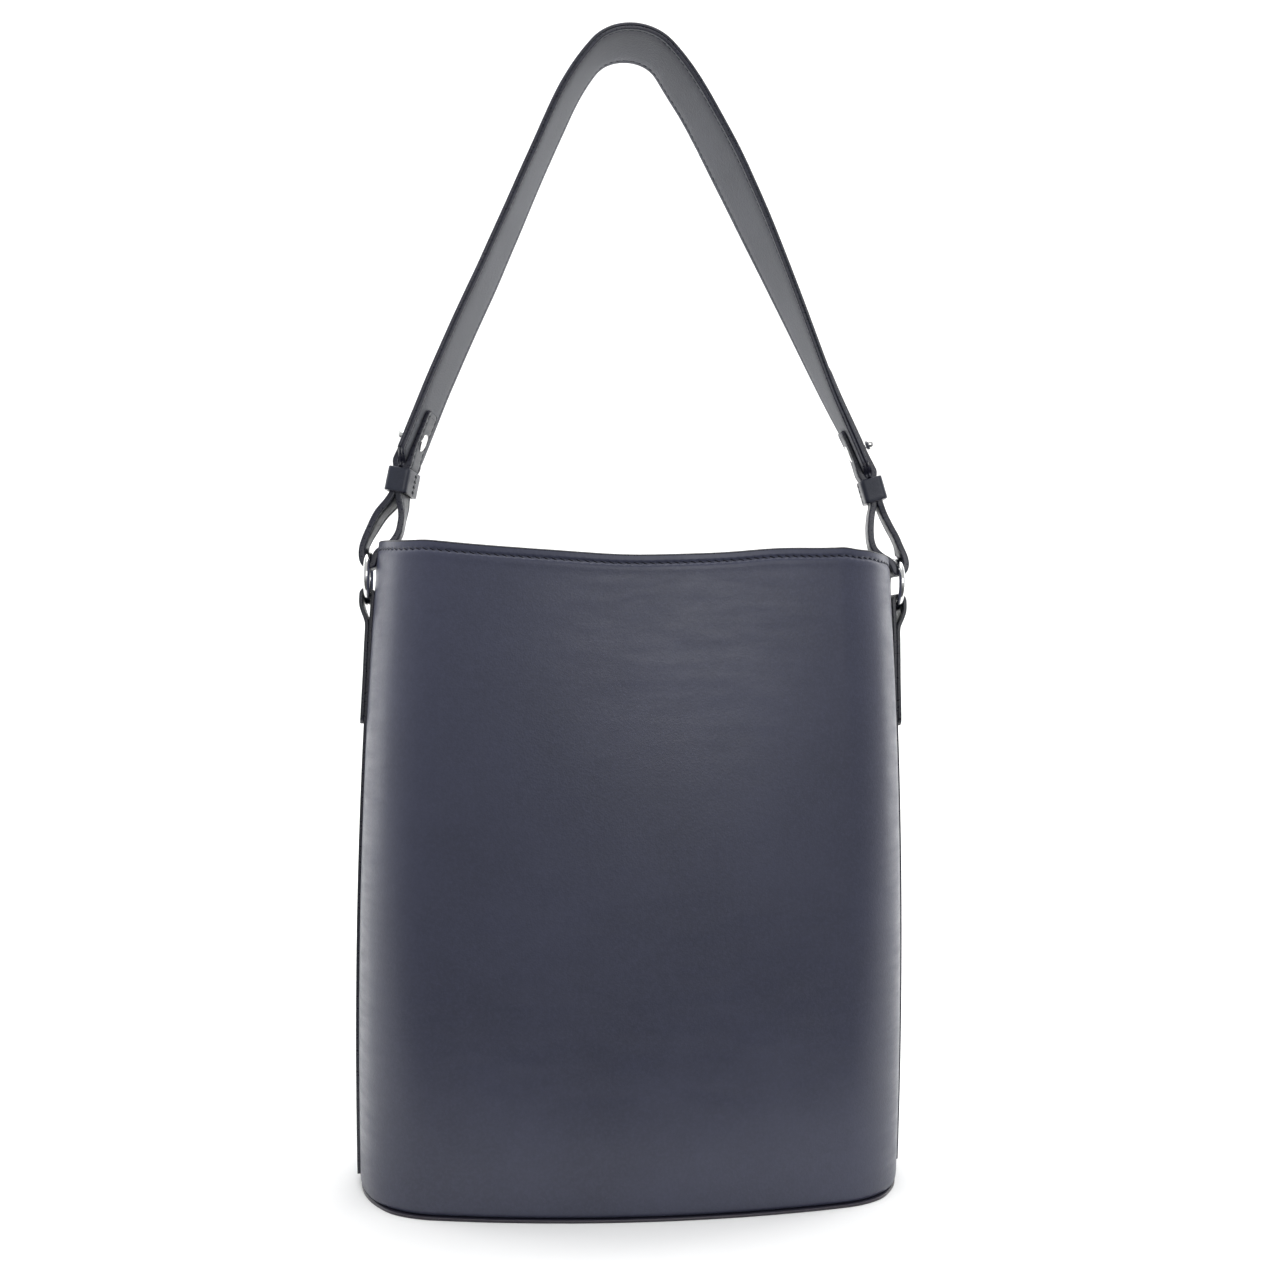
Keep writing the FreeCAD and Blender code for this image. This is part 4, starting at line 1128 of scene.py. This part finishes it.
def rounded_box(half_x, half_y, corner, per_corner):
    """Closed outline of a rounded box, with points along its long sides too."""
    points = []
    for quadrant, (sx, sy) in enumerate(((1, 1), (-1, 1), (-1, -1), (1, -1))):
        for k in range(per_corner + 1):
            turn = math.pi / 2 * (quadrant + k / per_corner)
            points.append((sx * (half_x - corner) + corner * math.cos(turn),
                           sy * (half_y - corner) + corner * math.sin(turn)))
    closed = np.array(points + points[:1])
    even, _ = along_line(closed, 0.35)
    return even[:-1]


def lathe(name, profile, centre, axis, node):
    """Turned piece of a stud: profile is (along, radius) pairs from end to end, both ends on the axis."""
    segments = 48
    first = unit(np.cross(axis, np.array([0.0, 1.0, 0.3])))
    second = np.cross(axis, first)
    turns = np.linspace(0.0, 2 * math.pi, segments, endpoint=False)
    spokes = np.outer(np.cos(turns), first) + np.outer(np.sin(turns), second)
    rounds = profile[1:-1]
    points = []
    for along, radius in rounds:
        points += list(centre + axis * along + radius * spokes)
    points += [centre + axis * profile[0][0], centre + axis * profile[-1][0]]
    low_tip, high_tip = len(points) - 2, len(points) - 1
    last = (len(rounds) - 1) * segments
    faces = loop_faces(len(rounds), segments)
    for k in range(segments):
        after = (k + 1) % segments
        faces += [(after, k, low_tip), (last + after, high_tip, last + k)]
    make_piece(name, points, faces, [STUD_METAL], "strap", [node])


def stud(line, sign, side_name):
    """Ball stud through both legs: a round plate inside, a screwed-on ball outside."""
    centre, out, _ = side_frame(line, sign, STUD_ALONG - STRAP_END)
    seat = STUD_SEAT - 0.55
    low = 0.62 - seat
    dome = ((0.80, 0.0), (0.79, 1.6), (0.74, 3.0), (0.62, 3.9), (0.44, 4.3), (0.22, 4.4), (0.05, 4.35),
            (0.0, 4.2))
    plate = [(low - rise, radius) for rise, radius in dome]
    plate += [(low, 2.0), (seat, 2.0), (seat, 1.2), (seat + 2.9, 1.2), (seat + 3.0, 1.1), (seat + 3.0, 0.0)]
    lathe(side_name + "_stud_plate", plate, centre, out, side_name + "_stud_base")
    ball_radius, ball_at = 2.6, seat + 3.05
    start = math.asin(1.9 / ball_radius)
    collar = ((0.0, 0.0), (0.0, 2.3), (0.12, 2.55), (0.35, 2.6), (0.55, 2.5), (0.66, 2.2), (0.8, 1.92))
    head = [(seat + rise, radius) for rise, radius in collar]
    head += [(ball_at - ball_radius * math.cos(a), ball_radius * math.sin(a))
             for a in np.linspace(start, math.pi, 16)[:-1]]
    head.append((ball_at + ball_radius, 0.0))
    lathe(side_name + "_stud_ball", head, centre, out, side_name + "_stud_head")


def ring(sign, side_name):
    """Plain round wire ring, square to the line that it turns on."""
    around, section = 128, 28
    points = []
    for turn in np.linspace(0.0, 2 * math.pi, around, endpoint=False):
        for angle in np.linspace(0.0, 2 * math.pi, section, endpoint=False):
            reach = RING_RADIUS + RING_WIRE * math.cos(angle)
            points.append((sign * fold_x(sign) + RING_WIRE * math.sin(angle), reach * math.cos(turn),
                           RING_Z + reach * math.sin(turn)))
    name = side_name + "_ring"
    faces = loop_faces(around, section, closed=True)
    make_piece(name + "_wire", points, faces, [RING_METAL], name, [name])


def make_hardware(line):
    """Side strips, rings, loop straps, keepers and studs, right and left."""
    for sign, side_name in ((1, "right"), (-1, "left")):
        side_strip(sign, side_name + "_side_strip")
        ring(sign, side_name)
        chape(line, sign, side_name)
        keeper(line, sign, side_name)
        stud(line, sign, side_name)


# ----------------------------------------------------------------- stage, light and camera
def make_stage():
    """A white sweep: floor, curve and back wall in one sheet."""
    width, front, back, height, bend = 6.0, -0.17, 1.6, 4.0, 0.9
    profile = [(front, 0.0), (back - bend, 0.0)]
    profile += [(back - bend + bend * math.sin(a), bend - bend * math.cos(a))
                for a in np.linspace(0.0, math.pi / 2, 17)]
    profile.append((back, height))
    points = [(x, y, z) for y, z in profile for x in (-width / 2, width / 2)]
    faces = [(2 * k, 2 * k + 1, 2 * k + 3, 2 * k + 2) for k in range(len(profile) - 1)]
    mesh = bpy.data.meshes.new("studio_sweep")
    mesh.from_pydata(points, [], faces)
    mesh.shade_smooth()
    sweep = bpy.data.objects.new("studio_sweep", mesh)
    bpy.context.scene.collection.objects.link(sweep)
    shader = Shader("sweep_paper", Roughness=0.9)
    shader.colour(shader.mix(shader.noise(3.0), rgb(0.93, 0.93, 0.925), rgb(0.95, 0.95, 0.945)))
    mesh.materials.append(shader.material)


def area_light(name, place, target, size, energy):
    """A softbox turned to its target."""
    lamp = bpy.data.lights.new(name, "AREA")
    lamp.shape = "RECTANGLE"
    lamp.size, lamp.size_y = size
    lamp.energy = energy
    holder = bpy.data.objects.new(name, lamp)
    holder.location = place
    holder.rotation_mode = "QUATERNION"
    holder.rotation_quaternion = (Vector(target) - Vector(place)).to_track_quat("-Z", "Y")
    bpy.context.scene.collection.objects.link(holder)


def make_light():
    """A soft white room, four softboxes round the bag and a wash on the back wall."""
    world = bpy.data.worlds.new("soft_white_room")
    world.use_nodes = True
    tree = world.node_tree
    backdrop = tree.nodes["Background"]
    backdrop.inputs["Color"].default_value = (0.98, 0.99, 1.0, 1.0)
    # the room is white behind and beside the bag, greyer behind the camera and dark below
    direction = tree.nodes.new("ShaderNodeTexCoord")
    parts = tree.nodes.new("ShaderNodeSeparateXYZ")
    tree.links.new(direction.outputs["Generated"], parts.inputs["Vector"])
    shares = []
    for axis, start, end, low, high in (("Y", -0.75, 0.35, 0.58, 0.90), ("Z", -0.45, 0.05, 0.20, 1.0)):
        share = tree.nodes.new("ShaderNodeMapRange")
        share.interpolation_type = "SMOOTHSTEP"
        share.inputs["From Min"].default_value = start
        share.inputs["From Max"].default_value = end
        share.inputs["To Min"].default_value = low
        share.inputs["To Max"].default_value = high
        tree.links.new(parts.outputs[axis], share.inputs["Value"])
        shares.append(share.outputs["Result"])
    both = tree.nodes.new("ShaderNodeMath")
    both.operation = "MULTIPLY"
    tree.links.new(shares[0], both.inputs[0])
    tree.links.new(shares[1], both.inputs[1])
    tree.links.new(both.outputs["Value"], backdrop.inputs["Strength"])
    bpy.context.scene.world = world
    middle = (0.0, 0.0, 0.28)
    area_light("left_softbox", (-1.5, 0.75, 0.7), middle, (0.7, 1.6), 6.4)
    area_light("right_softbox", (1.5, 0.75, 0.7), middle, (0.7, 1.6), 7.4)
    area_light("top_softbox", (0.1, -0.1, 2.0), middle, (1.8, 1.4), 22.0)
    area_light("front_softbox", (0.35, -1.6, 0.55), middle, (1.1, 0.5), 5.5)
    area_light("back_wash", (0.3, 0.4, 2.2), (0.3, 1.5, 0.7), (3.4, 0.8), 24.0)
    bpy.context.scene.view_settings.view_transform = "Standard"


def make_camera():
    """Stands a little left of the bag, turned to it, level with its upper half."""
    place = Vector((-0.0718, -0.72505, 0.2477))
    yaw, pitch, roll = 0.1026, 0.01917, 0.00731
    forward = Vector((math.sin(yaw) * math.cos(pitch), math.cos(yaw) * math.cos(pitch), math.sin(pitch)))
    data = bpy.data.cameras.new("camera")
    data.sensor_width = 36.0
    data.lens = 41.37
    camera = bpy.data.objects.new("camera", data)
    turn = forward.to_track_quat("-Z", "Y").to_matrix() @ Matrix.Rotation(roll, 3, "Z")
    camera.matrix_world = Matrix.Translation(place) @ turn.to_4x4()
    bpy.context.scene.collection.objects.link(camera)
    bpy.context.scene.camera = camera


make_camera()
make_stage()
make_light()
make_body()
make_hardware(make_strap())
